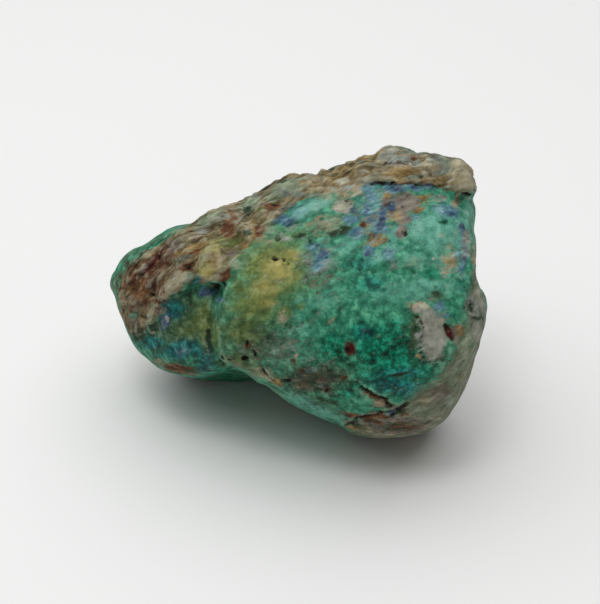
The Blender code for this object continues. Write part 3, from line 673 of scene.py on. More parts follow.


# The darkness of each groove's floor is painted shade.
GROOVES = (
    Groove("crease", ((217, 289), (212, 305), (209, 320), (209, 335), (212, 347), (217, 355), (223, 361),
                      (231, 376)), 0.3, 0.2, 0.4),
    Groove("shield_ledge", ((290, 224), (303, 221), (315, 214), (335, 212), (353, 212)), 0.24, 0.12, 0.3),
    Groove("brow_ledge", ((303, 191), (312, 187), (322, 185), (335, 186), (352, 185), (362, 183)),
           0.28, 0.2, 0.3),
    Groove("brow_gap", ((365, 184), (380, 184), (395, 185), (412, 183), (430, 186), (447, 186)),
           0.28, 0.2, 0.5),
    Groove("rim_crack", ((293, 187), (299, 184), (306, 179)), 0.24, 0.18, 0.4),
    Groove("red_crack", ((140, 275), (150, 266), (158, 256), (166, 246)), 0.5, 0.35, 0.5),
    Groove("tip_crack", ((141, 315), (148, 318), (157, 317)), 0.24, 0.2, 0.45),
    Groove("ridge_crack", ((154, 300), (161, 302), (168, 301)), 0.22, 0.16, 0.5),
    Groove("foot_line", ((357, 383), (365, 391), (374, 395), (384, 400), (390, 407)), 0.34, 0.18, 0.65),
    Groove("foot_edge", ((342, 428), (357, 421), (371, 417), (380, 413), (396, 413), (408, 405)),
           0.42, 0.16, 0.62),
    Groove("inclusion_edge", ((411, 303), (410, 313), (419, 318), (423, 330), (420, 343), (421, 353),
                              (427, 361), (440, 361), (448, 357)), 0.28, 0.14, 0.5),
    Groove("belly_slit", ((385, 375), (400, 373), (415, 374)), 0.22, 0.08, 0.4),
    Groove("low_slit", ((258, 366), (265, 374), (274, 382)), 0.22, 0.18, 0.6),
    Groove("crown_crack", ((384, 164), (394, 162), (406, 163)), 0.28, 0.2, 0.5),
    Groove("shield_crack", ((409, 240), (413, 242), (417, 245)), 0.2, 0.1, 0.45),
    Groove("back_edge_line", ((117, 300), (117, 286), (123, 272), (135, 261), (149, 248), (163, 240)),
           0.4, 0.25, 0.35),
)


class Scatter(NamedTuple):
    """How one mineral is strewn where no mark is placed: the size of its patches in millimetres, its
    share of the green crust, of the rim and of the bare rock, and how much of it the show side keeps."""

    mineral: Mineral
    size: float
    on_crust: float
    on_rim: float
    on_rock: float
    on_show_side: float


SCATTERS = (
    Scatter(Mineral.AQUA, 9.0, 0.32, 0.0, 0.0, 0.0),
    Scatter(Mineral.EMERALD, 6.0, 0.08, 0.0, 0.0, 0.0),
    Scatter(Mineral.DEEP, 9.0, 0.16, 0.0, 0.0, 0.0),
    Scatter(Mineral.MOSS, 8.0, 0.14, 0.0, 0.0, 0.0),
    Scatter(Mineral.TEAL, 5.0, 0.07, 0.0, 0.0, 0.0),
    Scatter(Mineral.TURQUOISE, 4.0, 0.03, 0.0, 0.0, 0.0),
    Scatter(Mineral.OLIVE, 10.0, 0.14, 0.06, 0.0, 0.3),
    Scatter(Mineral.YELLOW, 5.5, 0.025, 0.04, 0.0, 0.3),
    Scatter(Mineral.SAGE, 5.0, 0.02, 0.26, 0.20, 0.6),
    Scatter(Mineral.GREY, 3.4, 0.01, 0.13, 0.14, 0.6),
    Scatter(Mineral.TAN, 3.6, 0.008, 0.18, 0.20, 0.6),
    Scatter(Mineral.QUARTZ, 2.6, 0.004, 0.02, 0.05, 0.6),
    Scatter(Mineral.MAUVE, 5.2, 0.012, 0.10, 0.12, 0.6),
    Scatter(Mineral.OCHRE, 3.4, 0.006, 0.14, 0.07, 0.6),
    Scatter(Mineral.AZURE, 4.4, 0.035, 0.008, 0.0, 0.3),
    Scatter(Mineral.INDIGO, 3.0, 0.012, 0.004, 0.0, 0.3),
    Scatter(Mineral.RUST, 2.8, 0.003, 0.08, 0.03, 0.6),
    Scatter(Mineral.CUPRITE, 1.8, 0.0015, 0.02, 0.0, 0.4),
    Scatter(Mineral.CREAM, 1.3, 0.001, 0.006, 0.006, 0.7),
    Scatter(Mineral.SHADE, 2.6, 0.004, 0.05, 0.02, 0.6),
    # Painted shade in tiny pits.
    Scatter(Mineral.DARK, 0.9, 0.0004, 0.004, 0.001, 0.7),
)


def rise(value: np.ndarray | float, low: float, high: float) -> np.ndarray | float:
    """Give a smooth rise from 0 at low to 1 at high.

    Args:
        value: what rises.
        low: where the rise starts.
        high: where it ends.

    Returns:
        The height of the rise at each value.
    """
    share = np.clip((value - low) / (high - low), 0, 1)
    return share * share * (3 - 2 * share)


def from_line(places: np.ndarray, line: np.ndarray) -> tuple[np.ndarray, np.ndarray]:
    """Measure from places to an open line.

    Args:
        places: places on the picture.
        line: the line's corners.

    Returns:
        Each place's distance, and its side: over zero to the left of the line's run.
    """
    nearest = np.full(len(places), np.inf)
    side = np.ones(len(places))
    for start, end in zip(line[:-1], line[1:]):
        run = end - start
        share = np.clip((places - start) @ run / (run @ run), 0, 1)
        gap = places - start - share[:, None] * run
        distance = np.hypot(gap[:, 0], gap[:, 1])
        closer = distance < nearest
        nearest = np.where(closer, distance, nearest)
        turn = run[0] * (places[:, 1] - start[1]) - run[1] * (places[:, 0] - start[0])
        side = np.where(closer, np.sign(turn), side)
    return nearest, side


def drawn_out(points: np.ndarray, share: np.ndarray | float) -> np.ndarray:
    """Press points together along the rim's ledges, so that a pattern made with them is drawn out there.

    Args:
        points: the points.
        share: how far they are pressed together, from 0 to 1.

    Returns:
        The pressed points.
    """
    return points - share * (points @ np.array(LEDGE))[:, None] * LEDGE


def start_of(seed: int, steps: tuple[float, float, float]) -> Vector:
    """Give the place where the pattern of that seed starts."""
    return Vector([seed * step for step in steps])


def noise_at(points: np.ndarray, size: float, seed: int) -> np.ndarray:
    """Draw smooth noise over the surface.

    Args:
        points: the surface's points.
        size: the size of the noise's features, in millimetres.
        seed: which noise it is.

    Returns:
        A value from about -1 to 1 at each point.
    """
    shift = start_of(seed, NOISE_STEPS)
    return np.array([noise.noise(Vector(point) / size + shift) for point in points])


class Grain(NamedTuple):
    """Smooth noise of one size, in millimetres, with its height and its seed."""

    size: float
    height: float
    seed: int

    def heights(self, points: np.ndarray) -> np.ndarray:
        """Give the noise at each point."""
        return self.height * noise_at(points, self.size, self.seed)


@dataclass(frozen=True)
class ShowSide:
    """The side that the photograph shows: from where it is seen, and where that falls on the picture."""

    azimuth: float = math.radians(25)
    elevation: float = math.radians(34)
    eye_distance: float = 330.0
    aim: tuple[float, float, float] = (0.517, -2.241, 21.3)
    picture_size: tuple[int, int] = (600, 604)
    pixels_per_mm: float = 6.4

    def axes(self) -> tuple[np.ndarray, np.ndarray, np.ndarray]:
        """Give the directions of the picture.

        Returns:
            The directions to the right, up and towards the eye.
        """
        sin_a, cos_a = math.sin(self.azimuth), math.cos(self.azimuth)
        sin_e, cos_e = math.sin(self.elevation), math.cos(self.elevation)
        right = np.array((cos_a, sin_a, 0.0))
        up = np.array((-sin_e * sin_a, sin_e * cos_a, cos_e))
        return right, up, np.array((sin_a * cos_e, -cos_a * cos_e, sin_e))

    def places(self, points: np.ndarray) -> np.ndarray:
        """Find where points are seen.

        Args:
            points: points in millimetres around the aim.

        Returns:
            Their places right and up of the line of sight, in millimetres at the aim.
        """
        right, up, toward = self.axes()
        nearness = self.eye_distance / (self.eye_distance - points @ toward)
        return np.stack((points @ right * nearness, points @ up * nearness), 1)

    def from_pixels(self, course: Course) -> np.ndarray:
        """Turn pixels of the photograph into places right and up of the line of sight.

        Args:
            course: the pixels, counted right and down from the picture's corner.

        Returns:
            The places, in millimetres at the aim.
        """
        width, height = self.picture_size
        return (np.array(course, float) - (width / 2, height / 2)) * (1, -1) / self.pixels_per_mm

    def facing(self, normals: np.ndarray, low: float, high: float) -> np.ndarray:
        """Give 1 where the surface faces the eye, falling to 0 as it turns away.

        Args:
            normals: the surface's normals.
            low: the cosine at which it reaches 0.
            high: the cosine at which it leaves 1.

        Returns:
            The share at each point.
        """
        return rise(normals @ self.axes()[2], low, high)


@dataclass
class Skin:
    """The stone's surface while it is worked on, in millimetres around the middle of the stone."""

    mesh: bpy.types.Mesh
    show_side: ShowSide

    def __post_init__(self) -> None:
        """Read the surface's points and edges from its mesh."""
        count = len(self.mesh.vertices)
        flat = np.empty(count * 3)
        self.mesh.vertices.foreach_get("co", flat)
        self.points = flat.reshape(-1, 3) / MM - self.show_side.aim
        pairs = np.empty(len(self.mesh.edges) * 2, int)
        self.mesh.edges.foreach_get("vertices", pairs)
        self.edges = pairs.reshape(-1, 2)
        self.neighbours = np.bincount(pairs, minlength=count)

    def store(self) -> None:
        """Write the points back to the mesh, none of them under the resting surface."""
        placed = self.points + self.show_side.aim
        placed[:, 2] = np.maximum(placed[:, 2], 0)
        self.points = placed - self.show_side.aim
        self.mesh.vertices.foreach_set("co", (placed * MM).ravel())
        self.mesh.update()

    def normals(self) -> np.ndarray:
        """Work out the surface's outward normals.

        Returns:
            The normal at each point.
        """
        self.store()
        flat = np.empty(len(self.points) * 3)
        self.mesh.vertex_normals.foreach_get("vector", flat)
        return flat.reshape(-1, 3)

    def spread(self, values: np.ndarray, times: int) -> np.ndarray:
        """Even out values over the surface.

        Args:
            values: one value, or one row of values, for each point.
            times: how often each point is drawn half way to the mean of its neighbours.

        Returns:
            The evened values.
        """
        columns = values.reshape(len(values), -1).T.copy()
        first, second = self.edges[:, 0], self.edges[:, 1]
        for _ in range(times):
            for i, column in enumerate(columns):
                total = np.bincount(first, column[second], len(column))
                total += np.bincount(second, column[first], len(column))
                columns[i] = (column + total / self.neighbours) / 2
        return columns.T.reshape(values.shape)

    def move_out(self, heights: np.ndarray) -> None:
        """Move each point along its normal by its height."""
        self.points = self.points + self.normals() * heights[:, None]

    def places(self) -> np.ndarray:
        """Give where each point is seen from the show side."""
        return self.show_side.places(self.points)


@dataclass
class Provinces:
    """The stone's three kinds of surface: the rough rim on top, bare rock at the foot, and green crust."""

    skin: Skin
    brow: Course = (
        (136, 338), (150, 332), (158, 315), (163, 301), (178, 296), (191, 283), (197, 275), (206, 285),
        (217, 289), (226, 280), (233, 262), (245, 250), (262, 234), (276, 222), (290, 207), (305, 197),
        (335, 190), (360, 186), (380, 182), (400, 184), (425, 184), (450, 190), (464, 194), (477, 197),
    )
    back_edge: Course = (
        (112, 312), (119, 300), (119, 286), (126, 272), (138, 261), (152, 249), (164, 241), (177, 232),
        (192, 223),
    )
    crust_edge: Course = (
        (342, 430), (356, 422), (369, 417), (385, 417), (402, 410), (415, 393), (437, 379), (447, 367),
        (466, 328), (470, 299),
    )
    softness: float = 1.6
    upper_turn: tuple[float, float] = (-0.25, 0.15)
    back_turn_at_tip: float = -0.05
    back_turn_at_fat_end: float = -0.50
    back_turn_fade: float = 0.25
    back_turn_wander: Grain = Grain(8.0, 0.55, 6)
    tip_end: tuple[float, float] = (-17.0, -6.0)
    back_softness: float = 0.7
    rock_softness: float = 3.4
    rock_side: tuple[float, float, float] = (0.69, 0.274, -0.78)
    rock_distance: float = 20.0
    rock_wander: Grain = Grain(9.0, 3.0, 7)

    def side_of(self, course: Course, softness: float) -> np.ndarray:
        """Give 1 to the left of a line across the picture, and 0 to its right.

        Args:
            course: the line, in pixels.
            softness: over how many millimetres the one gives way to the other.

        Returns:
            The share at each point of the surface.
        """
        show_side = self.skin.show_side
        distance, side = from_line(self.skin.places(), show_side.from_pixels(course))
        return rise(distance * side, -softness / 2, softness / 2)

    def rim(self) -> np.ndarray:
        """Give 1 on the rough brown rim, and 0 elsewhere.

        Returns:
            The share of rim at each point of the surface.
        """
        points, normals = self.skin.points, self.skin.normals()
        above = self.side_of(self.brow, self.softness)
        upper = rise(normals[:, 2], *self.upper_turn)
        to_fat_end = rise(points[:, 0], *self.tip_end)
        last_turn = self.back_turn_at_tip + (self.back_turn_at_fat_end - self.back_turn_at_tip) * to_fat_end
        last_turn = last_turn + to_fat_end * self.back_turn_wander.heights(points)
        turned = rise(normals @ self.skin.show_side.axes()[2] - last_turn, 0, self.back_turn_fade)
        in_front = np.maximum(1 - self.side_of(self.back_edge, self.back_softness), to_fat_end)
        return above * upper * turned * in_front

    def rock(self, facing: np.ndarray) -> np.ndarray:
        """Give 1 on the bare rock of the foot and the fat end, and 0 elsewhere.

        Args:
            facing: the share of the show side at each point.

        Returns:
            The share of bare rock at each point.
        """
        seen = 1 - self.side_of(self.crust_edge, self.rock_softness)
        beyond = self.skin.points @ np.array(self.rock_side) - self.rock_distance
        beyond = beyond + self.rock_wander.heights(self.skin.points)
        hidden = rise(beyond, -self.rock_softness, self.rock_softness)
        return seen * facing + hidden * (1 - facing)


@dataclass(frozen=True)
class Cobbles:
    """Rounded lumps packed side by side, some higher than others."""

    size: float
    height: float
    seed: int
    joint: float = 0.45
    middle_height: float = 0.45
    lowest_top: float = 0.35
    top_hash: float = 7.13
    warp: float = 0.25
    warp_size: float = 2.4
    pressed: float = 0.0

    def heights(self, points: np.ndarray) -> np.ndarray:
        """Work out how far the lumps stand out.

        Args:
            points: the surface's points.

        Returns:
            The height at each point, over and under zero.
        """
        shift = start_of(self.seed, CELL_STEPS)
        bend = np.stack([noise_at(points, self.warp_size, self.seed + i) for i in range(3)], 1)
        bent = drawn_out(points + bend * self.warp * self.size, self.pressed)
        crowns, tops = np.empty(len(points)), np.empty(len(points))
        for i, point in enumerate(bent):
            distances, centres = noise.voronoi(Vector(point) / self.size + shift)
            crowns[i] = distances[1] - distances[0]
            tops[i] = noise.cell(centres[0] * self.top_hash)
        tops = self.lowest_top + (1 - self.lowest_top) * tops
        return self.height * (rise(crowns, 0, self.joint) * tops - self.middle_height)


@dataclass
class Relief:
    """The fine relief that wear, crust and decay left on each kind of surface."""

    rim_cobbles: tuple[Cobbles, ...] = (
        Cobbles(2.3, 0.45, 21, pressed=0.5), Cobbles(1.1, 0.16, 31, pressed=0.3),
    )
    rim_swell: Grain = Grain(1.3, 0.14, 10)
    rim_grit: Grain = Grain(0.6, 0.09, 11)
    crust_swell: Grain = Grain(2.4, 0.08, 12)
    crust_grain: Grain = Grain(0.8, 0.06, 13)
    rock_grain: Grain = Grain(1.5, 0.06, 14)
    pit_size: float = 1.5
    pit_radius: float = 0.24
    pit_depth: float = 0.16
    pit_share: float = 0.35
    pit_hash: float = 5.31
    brow_lift: float = 0.22
    crust_lift: float = 0.25
    calmed: float = 0.85
    rim_step: tuple[float, float] = (0.3, 0.7)

    def pits(self, points: np.ndarray) -> np.ndarray:
        """Work out the small round pits strewn over the crust.

        Args:
            points: the surface's points.

        Returns:
            The depth at each point, in millimetres.
        """
        depths = np.zeros(len(points))
        for i, point in enumerate(points):
            distances, centres = noise.voronoi(Vector(point) / self.pit_size)
            if noise.cell(centres[0] * self.pit_hash) < self.pit_share:
                share = min(distances[0] / self.pit_radius, 1)
                depths[i] = self.pit_depth * (1 - share * share) ** 2
        return depths

    def heights(
        self, points: np.ndarray, rim: np.ndarray, rock: np.ndarray, calm: np.ndarray
    ) -> np.ndarray:
        """Work out the relief of the whole surface.

        Args:
            points: the surface's points.
            rim: the share of rim at each point.
            rock: the share of bare rock at each point.
            calm: the share of each of the rim's points that wear has left smooth.

        Returns:
            The height at each point.
        """
        rim = rise(rim, *self.rim_step)
        on_rim = sum(cobbles.heights(points) for cobbles in self.rim_cobbles) * (1 - self.calmed * calm)
        on_rim = on_rim + self.rim_swell.heights(points) + self.rim_grit.heights(points)
        on_crust = self.crust_swell.heights(points) + self.crust_grain.heights(points) - self.pits(points)
        on_rock = self.rock_grain.heights(points)
        crust = (1 - rim) * (1 - rock)
        heights = rim * (on_rim + self.brow_lift) + crust * on_crust + (1 - rim) * rock * on_rock
        return heights - self.crust_lift * rock * (1 - rim)


# How far each mineral stands out of what is around it, in millimetres.
STANDS = {
    Mineral.AZURE: 0.04,
    Mineral.INDIGO: 0.05,
    Mineral.TURQUOISE: 0.04,
    Mineral.MAUVE: -0.08,
    Mineral.OCHRE: -0.03,
    Mineral.RUST: -0.06,
    Mineral.CUPRITE: -0.14,
    Mineral.SHADE: -0.05,
    Mineral.CREAM: 0.04,
    Mineral.DARK: -0.42,
}


@dataclass
class Coat:
    """Where each mineral lies: its cover at every point of the surface, a half at the edge of a patch."""

    skin: Skin
    facing: np.ndarray
    rim: np.ndarray
    rock: np.ndarray
    spot_fade: float = 0.7
    crust_fade: float = 0.9
    crust_keep: float = 0.2
    clusters: Grain = Grain(9.0, 0.9, 19)
    drawn: float = 0.5
    finer_size: float = 2.3
    finer_share: float = 0.5
    first_seed: int = 40
    wobbles: tuple[tuple[float, float], ...] = ((1.6, 0.34), (0.7, 0.16))
    wobble_seeds: tuple[int, int] = (17, 18)

    def __post_init__(self) -> None:
        """Find where each point is seen, with a wobble that gives every patch a natural edge."""
        self.wobbly = self.skin.places()
        for size, reach in self.wobbles:
            drift = [noise_at(self.skin.points, size, seed) for seed in self.wobble_seeds]
            self.wobbly = self.wobbly + reach * np.stack(drift, 1)
        self.clustered = self.clusters.heights(self.skin.points)

    def marked(self, marks: tuple[Mark, ...], facing: np.ndarray) -> np.ndarray:
        """Work out the patches that are placed one by one on the show side.

        Args:
            marks: the patches.
            facing: the share of the side that they are on, at each point.

        Returns:
            Their cover at each point.
        """
        show_side, places = self.skin.show_side, self.wobbly
        cover = np.zeros(len(places))
        for mark in marks:
            offset = (places - show_side.from_pixels(((mark.x, mark.y),))) * show_side.pixels_per_mm
            tilt = math.radians(mark.tilt)
            along = offset @ (math.cos(tilt), math.sin(tilt)) / mark.length
            across = offset @ (-math.sin(tilt), math.cos(tilt)) / mark.width
            cover = np.maximum(cover, mark.cover * PATCH_EDGE ** (along ** 2 + across ** 2))
        return cover * facing

    def strewn(self, scatter: Scatter, seed: int) -> np.ndarray:
        """Work out the patches that are strewn where no mark is placed.

        Args:
            scatter: what is strewn, and how densely.
            seed: which pattern it is.

        Returns:
            Their cover at each point.
        """
        points = drawn_out(self.skin.points, self.drawn * self.rim[:, None])
        finer = noise_at(points, scatter.size / self.finer_size, seed + 1)
        pattern = noise_at(points, scatter.size, seed) + self.finer_share * finer
        crust = (1 - self.rim) * (1 - self.rock)
        fade = self.crust_fade
        if not isinstance(FINISHES[scatter.mineral], CrustFinish):
            pattern = pattern + crust * self.clustered
            fade = self.spot_fade
        cover = np.zeros(len(points))
        for share, where in (
            (scatter.on_crust, crust),
            (scatter.on_rim, self.rim),
            (scatter.on_rock, self.rock * (1 - self.rim)),
        ):
            if share:
                edge = np.quantile(pattern, 1 - share)
                cover = cover + where * np.clip(PATCH_EDGE + (pattern - edge) / fade, 0, 1)
        kept = scatter.on_show_side * (self.crust_keep + (1 - self.crust_keep) * (1 - crust))
        return cover * (1 - self.facing * (1 - kept))

    def groove_shade(self) -> np.ndarray:
        """Work out the painted shade on the floors of the grooves.

        Returns:
            Their cover at each point.
        """
        show_side, places = self.skin.show_side, self.wobbly
        cover = np.zeros(len(places))
        for groove in GROOVES:
            distance, _ = from_line(places, show_side.from_pixels(groove.course))
            cover = np.maximum(cover, groove.floor_shade * PATCH_EDGE ** ((distance / groove.width) ** 2))
        return cover * self.facing

    def covers(self) -> dict[Mineral, np.ndarray]:
        """Work out where every mineral lies.

        Returns:
            The cover of each mineral at each point.
        """
        covers = {mineral: self.marked(MARKS.get(mineral, ()), self.facing) for mineral in Mineral}
        for i, scatter in enumerate(SCATTERS):
            strewn = self.strewn(scatter, self.first_seed + 2 * i)
            covers[scatter.mineral] = np.maximum(covers[scatter.mineral], strewn)
        covers[Mineral.RIM] = self.rim
        covers[Mineral.ROCK] = self.rock
        # The grooves' painted shade joins the painted shade of the holes.
        covers[Mineral.DARK] = np.maximum(covers[Mineral.DARK], self.groove_shade())
        return covers


Link = Any


class Value:
    """A shader value. A sum or product made with it adds the Math node for it."""

    def __init__(self, bench: "Bench", socket: bpy.types.NodeSocket) -> None:
        """Hold the socket that gives the value."""
        self.bench = bench
        self.socket = socket

    def made(self, operation: str, first: Link, second: Link) -> "Value":
        """Add one Math node and give its result."""
        node = self.bench.node("ShaderNodeMath", {"operation": operation}, {0: first, 1: second})
        return Value(self.bench, node.outputs[0])

    def __add__(self, other: Link) -> "Value":
        """Add another value."""
        return self.made("ADD", self, other)

    def __sub__(self, other: Link) -> "Value":
        """Take another value away."""
        return self.made("SUBTRACT", self, other)

    def __rsub__(self, other: Link) -> "Value":
        """Take this value away from another."""
        return self.made("SUBTRACT", other, self)

    def __mul__(self, other: Link) -> "Value":
        """Multiply by another value."""
        return self.made("MULTIPLY", self, other)

    __radd__ = __add__
    __rmul__ = __mul__


class Bench:
    """A material's node tree, and the few ways in which nodes are added to it."""

    def __init__(self, material: bpy.types.Material) -> None:
        """Take the material's tree, with its surface shader.

        Args:
            material: the material.
        """
        material.use_nodes = True
        self.tree = material.node_tree
        self.shader = self.tree.nodes["Principled BSDF"]

    def node(self, kind: str, settings: dict[str, Any], inputs: dict[int | str, Link]) -> bpy.types.Node:
        """Add a node.

        Args:
            kind: the node's type.
            settings: its own settings, and under stops the places and colours of a ramp.
            inputs: the values or links of its sockets, by their name or number.

        Returns:
            The node.
        """
        node = self.tree.nodes.new(kind)
        for name, setting in settings.items():
            if name == "stops":
                for _ in range(len(setting) - len(node.color_ramp.elements)):
                    node.color_ramp.elements.new(1.0)
                for stop, (place, colour) in zip(node.color_ramp.elements, setting):
                    stop.position, stop.color = place, colour
            else:
                setattr(node, name, setting)
        for key, link in inputs.items():
            self.feed(node.inputs[key], link)
        return node

    def feed(self, socket: bpy.types.NodeSocket, link: Link) -> None:
        """Give a socket its value, or link it to another.

        Args:
            socket: the socket that is fed.
            link: a plain value, a shader value or another node's socket.
        """
        if isinstance(link, Value):
            link = link.socket
        if isinstance(link, bpy.types.NodeSocket):
            self.tree.links.new(link, socket)
        else:
            socket.default_value = link

    def attribute(self, name: str) -> Value:
        """Give the value that the mesh holds under that name."""
        node = self.node("ShaderNodeAttribute", {"attribute_type": "GEOMETRY", "attribute_name": name}, {})
        return Value(self, node.outputs["Fac"])

    def grain(self, place: Link, size: float, detail: float, roughness: float) -> Value:
        """Add a cloudy grain.

        Args:
            place: where on the stone, in millimetres.
            size: the size of its largest features, in millimetres.
            detail: how many times finer features are laid over them.
            roughness: how strong the finer ones are.

        Returns:
            A value around a half.
        """
        inputs = {"Vector": place, "Scale": 1 / size, "Detail": detail, "Roughness": roughness}
        return Value(self, self.node("ShaderNodeTexNoise", {}, inputs).outputs[0])

    def risen(self, value: Link, low: float, high: float) -> Value:
        """Add a smooth rise from 0 at low to 1 at high.

        Args:
            value: what rises.
            low: where the rise starts.
            high: where it ends.

        Returns:
            The height of the rise.
        """
        settings = {"interpolation_type": "SMOOTHSTEP"}
        node = self.node("ShaderNodeMapRange", settings, {0: value, 1: low, 2: high})
        return Value(self, node.outputs[0])

    def blended(self, share: Link, first: Link, second: Link) -> bpy.types.NodeSocket:
        """Blend two colours.

        Args:
            share: how much of the second there is.
            first: the first colour.
            second: the second colour.

        Returns:
            The blend.
        """
        ends = {0: share, MIX_FIRST: first, MIX_SECOND: second}
        return self.node("ShaderNodeMix", {"data_type": "RGBA"}, ends).outputs[MIX_RESULT]


def daylight(colour: Rgb) -> tuple[float, float, float, float]:
    """Turn a colour as it is seen into the linear colour that a shader takes.

    Args:
        colour: red, green and blue, up to 255.

    Returns:
        The linear colour with full alpha.
    """
    linear = []
    for share in (part / FULL_CHANNEL for part in colour):
        curved = ((share + CURVE_OFFSET) / (1 + CURVE_OFFSET)) ** CURVE_POWER
        linear.append(share / TOE_SLOPE if share <= TOE_END else curved)
    return linear[0], linear[1], linear[2], 1.0


@dataclass
class StoneSurface:
    """The material of the whole stone: every mineral in its layer, with grain, dirt and painted shade in the
    hollows, painted glints and wear over them.
    """

    streak_share: float = 0.6
    gloss: float = 0.15
    fine_tone: tuple[float, int, float] = (1.3, 5, 0.66)
    coarse_tone: tuple[float, int, float] = (1.3, 5, 0.7)
    rag_detail: tuple[int, float] = (5, 0.72)
    rag_sizes: tuple[float, float, float] = (0.9, 0.6, 1.2)
    # Dark grains, and pale specks that are partly pale grains and partly painted glints.
    specks_and_glints: tuple[tuple[float, Rgb, float], ...] = (
        (1.15, (14, 42, 30), 0.6), (0.85, (140, 176, 146), 0.35), (0.6, (18, 56, 40), 0.5),
    )
    speck_radius: tuple[float, float] = (0.12, 0.34)
    speck_choice: tuple[float, float] = (0.45, 0.8)
    speck_bend: float = 0.5
    speck_bend_scale: float = 3.0
    speckless_rim: float = 0.6
    # Dirt and painted shade, darker the deeper a point lies in a hollow.
    dirt_and_shade: Rgb = (38, 34, 24)
    dirt_and_shade_depth: tuple[float, float] = (0.03, 0.25)
    dirt_and_shade_share: float = 0.6
    dirt_and_shade_break: float = 0.12
    wear: Rgb = (196, 198, 176)
    wear_height: tuple[float, float] = (0.02, 0.14)
    wear_share: float = 0.25
    wear_break: float = 0.10
    grain_bump: float = 0.00016
    fine_bump: float = 0.00007
    grain_bump_detail: tuple[float, int, float] = (0.45, 4, 0.6)
    fine_bump_detail: tuple[float, int, float] = (0.16, 2, 0.5)
    bump_on_crust: float = 0.5

    def make(self) -> bpy.types.Material:
        """Build the material.

        Returns:
            The material.
        """
        material = bpy.data.materials.new("copper_ore")
        bench = Bench(material)
        spot = bench.node("ShaderNodeTexCoord", {}, {}).outputs["Object"]
        place = bench.node("ShaderNodeVectorMath", {"operation": "SCALE"}, {0: spot, "Scale": 1 / MM})
        place = place.outputs[0]
        streaked = self.drawn_out(bench, place)
        fine_tone = bench.grain(place, *self.fine_tone)
        coarse_tone = bench.grain(streaked, *self.coarse_tone)
        rags = [bench.grain(streaked, size, *self.rag_detail) for size in self.rag_sizes]
        colour = self.tone(bench, GREEN_CRUST, fine_tone)
        dullness: Link = GREEN_CRUST.roughness
        for i, (mineral, finish) in enumerate(FINISHES.items()):
            rag = rags[i % len(rags)]
            rag = rag if i % 2 else 1 - rag
            cover = bench.attribute(mineral.value) + (rag - MEAN_GRAIN) * finish.ragged
            cover = bench.risen(cover, PATCH_EDGE - finish.edge, PATCH_EDGE + finish.edge)
            tone = self.tone(bench, finish, coarse_tone if finish.streaked else fine_tone)
            colour = bench.blended(cover, colour, tone)
            dullness = cover * finish.roughness + (1 - cover) * dullness
        colour = self.specked(bench, place, colour)
        colour = self.weathered_and_shaded(bench, colour, fine_tone)
        bench.feed(bench.shader.inputs["Base Color"], colour)
        bench.feed(bench.shader.inputs["Roughness"], dullness)
        bench.shader.inputs["Specular IOR Level"].default_value = self.gloss
        self.bumped(bench, place)
        return material

    def drawn_out(self, bench: Bench, place: Link) -> bpy.types.NodeSocket:
        """Draw the grain out along the rim's ledges.

        Args:
            bench: the material's tree.
            place: where on the stone, in millimetres.

        Returns:
            The place, pressed together along the ledges.
        """
        along = bench.node("ShaderNodeVectorMath", {"operation": "DOT_PRODUCT"}, {0: place, 1: LEDGE})
        share = Value(bench, along.outputs["Value"]) * self.streak_share
        pressed = bench.node("ShaderNodeVectorMath", {"operation": "SCALE"}, {0: LEDGE, "Scale": share})
        ends = {0: place, 1: pressed.outputs[0]}
        return bench.node("ShaderNodeVectorMath", {"operation": "SUBTRACT"}, ends).outputs[0]

    def tone(self, bench: Bench, finish: Finish, grain: Value) -> bpy.types.NodeSocket:
        """Add one finish's colours, spread over a grain.

        Args:
            bench: the material's tree.
            finish: the finish.
            grain: the grain.

        Returns:
            The colour.
        """
        places = (MEAN_GRAIN - finish.spread, MEAN_GRAIN, MEAN_GRAIN + finish.spread)
        colours = (finish.dark, finish.middle, finish.light)
        stops = [(place, daylight(colour)) for place, colour in zip(places, colours)]
        return bench.node("ShaderNodeValToRGB", {"stops": stops}, {0: grain}).outputs[0]

    def specked(self, bench: Bench, place: Link, colour: Link) -> bpy.types.NodeSocket:
        """Sprinkle dark grains, and pale grains that are partly painted glints, over the green crust, and
        fewer over the rest.

        Args:
            bench: the material's tree.
            place: where on the stone, in millimetres.
            colour: the colour under them.

        Returns:
            The specked colour.
        """
        green = 1 - bench.attribute(Mineral.RIM.value) * self.speckless_rim
        bend = bench.node("ShaderNodeTexNoise", {}, {"Vector": place, "Scale": self.speck_bend_scale})
        reach = {0: bend.outputs["Color"], "Scale": self.speck_bend}
        drift = bench.node("ShaderNodeVectorMath", {"operation": "SCALE"}, reach)
        bent = bench.node("ShaderNodeVectorMath", {"operation": "ADD"}, {0: place, 1: drift.outputs[0]})
        for size, speck, share in self.specks_and_glints:
            cells = bench.node("ShaderNodeTexVoronoi", {}, {"Vector": bent.outputs[0], "Scale": 1 / size})
            within = 1 - bench.risen(cells.outputs["Distance"], *self.speck_radius)
            chosen = bench.risen(cells.outputs["Color"], *self.speck_choice)
            colour = bench.blended(within * chosen * green * share, colour, daylight(speck))
        return colour

    def weathered_and_shaded(self, bench: Bench, colour: Link, grain: Value) -> bpy.types.NodeSocket:
        """Lay dirt and painted shade in the hollows, and wear on the ridges.

        Args:
            bench: the material's tree.
            colour: the colour under them.
            grain: the grain that breaks them up.

        Returns:
            The weathered colour.
        """
        hollow = bench.attribute(HOLLOW)
        broken = grain - MEAN_GRAIN
        # Dirt and painted shade in the hollows.
        dirt_and_shade_cover = bench.risen(hollow + broken * self.dirt_and_shade_break, *self.dirt_and_shade_depth) * self.dirt_and_shade_share
        colour = bench.blended(dirt_and_shade_cover, colour, daylight(self.dirt_and_shade))
        worn = bench.risen(broken * self.wear_break - hollow, *self.wear_height) * self.wear_share
        return bench.blended(worn, colour, daylight(self.wear))

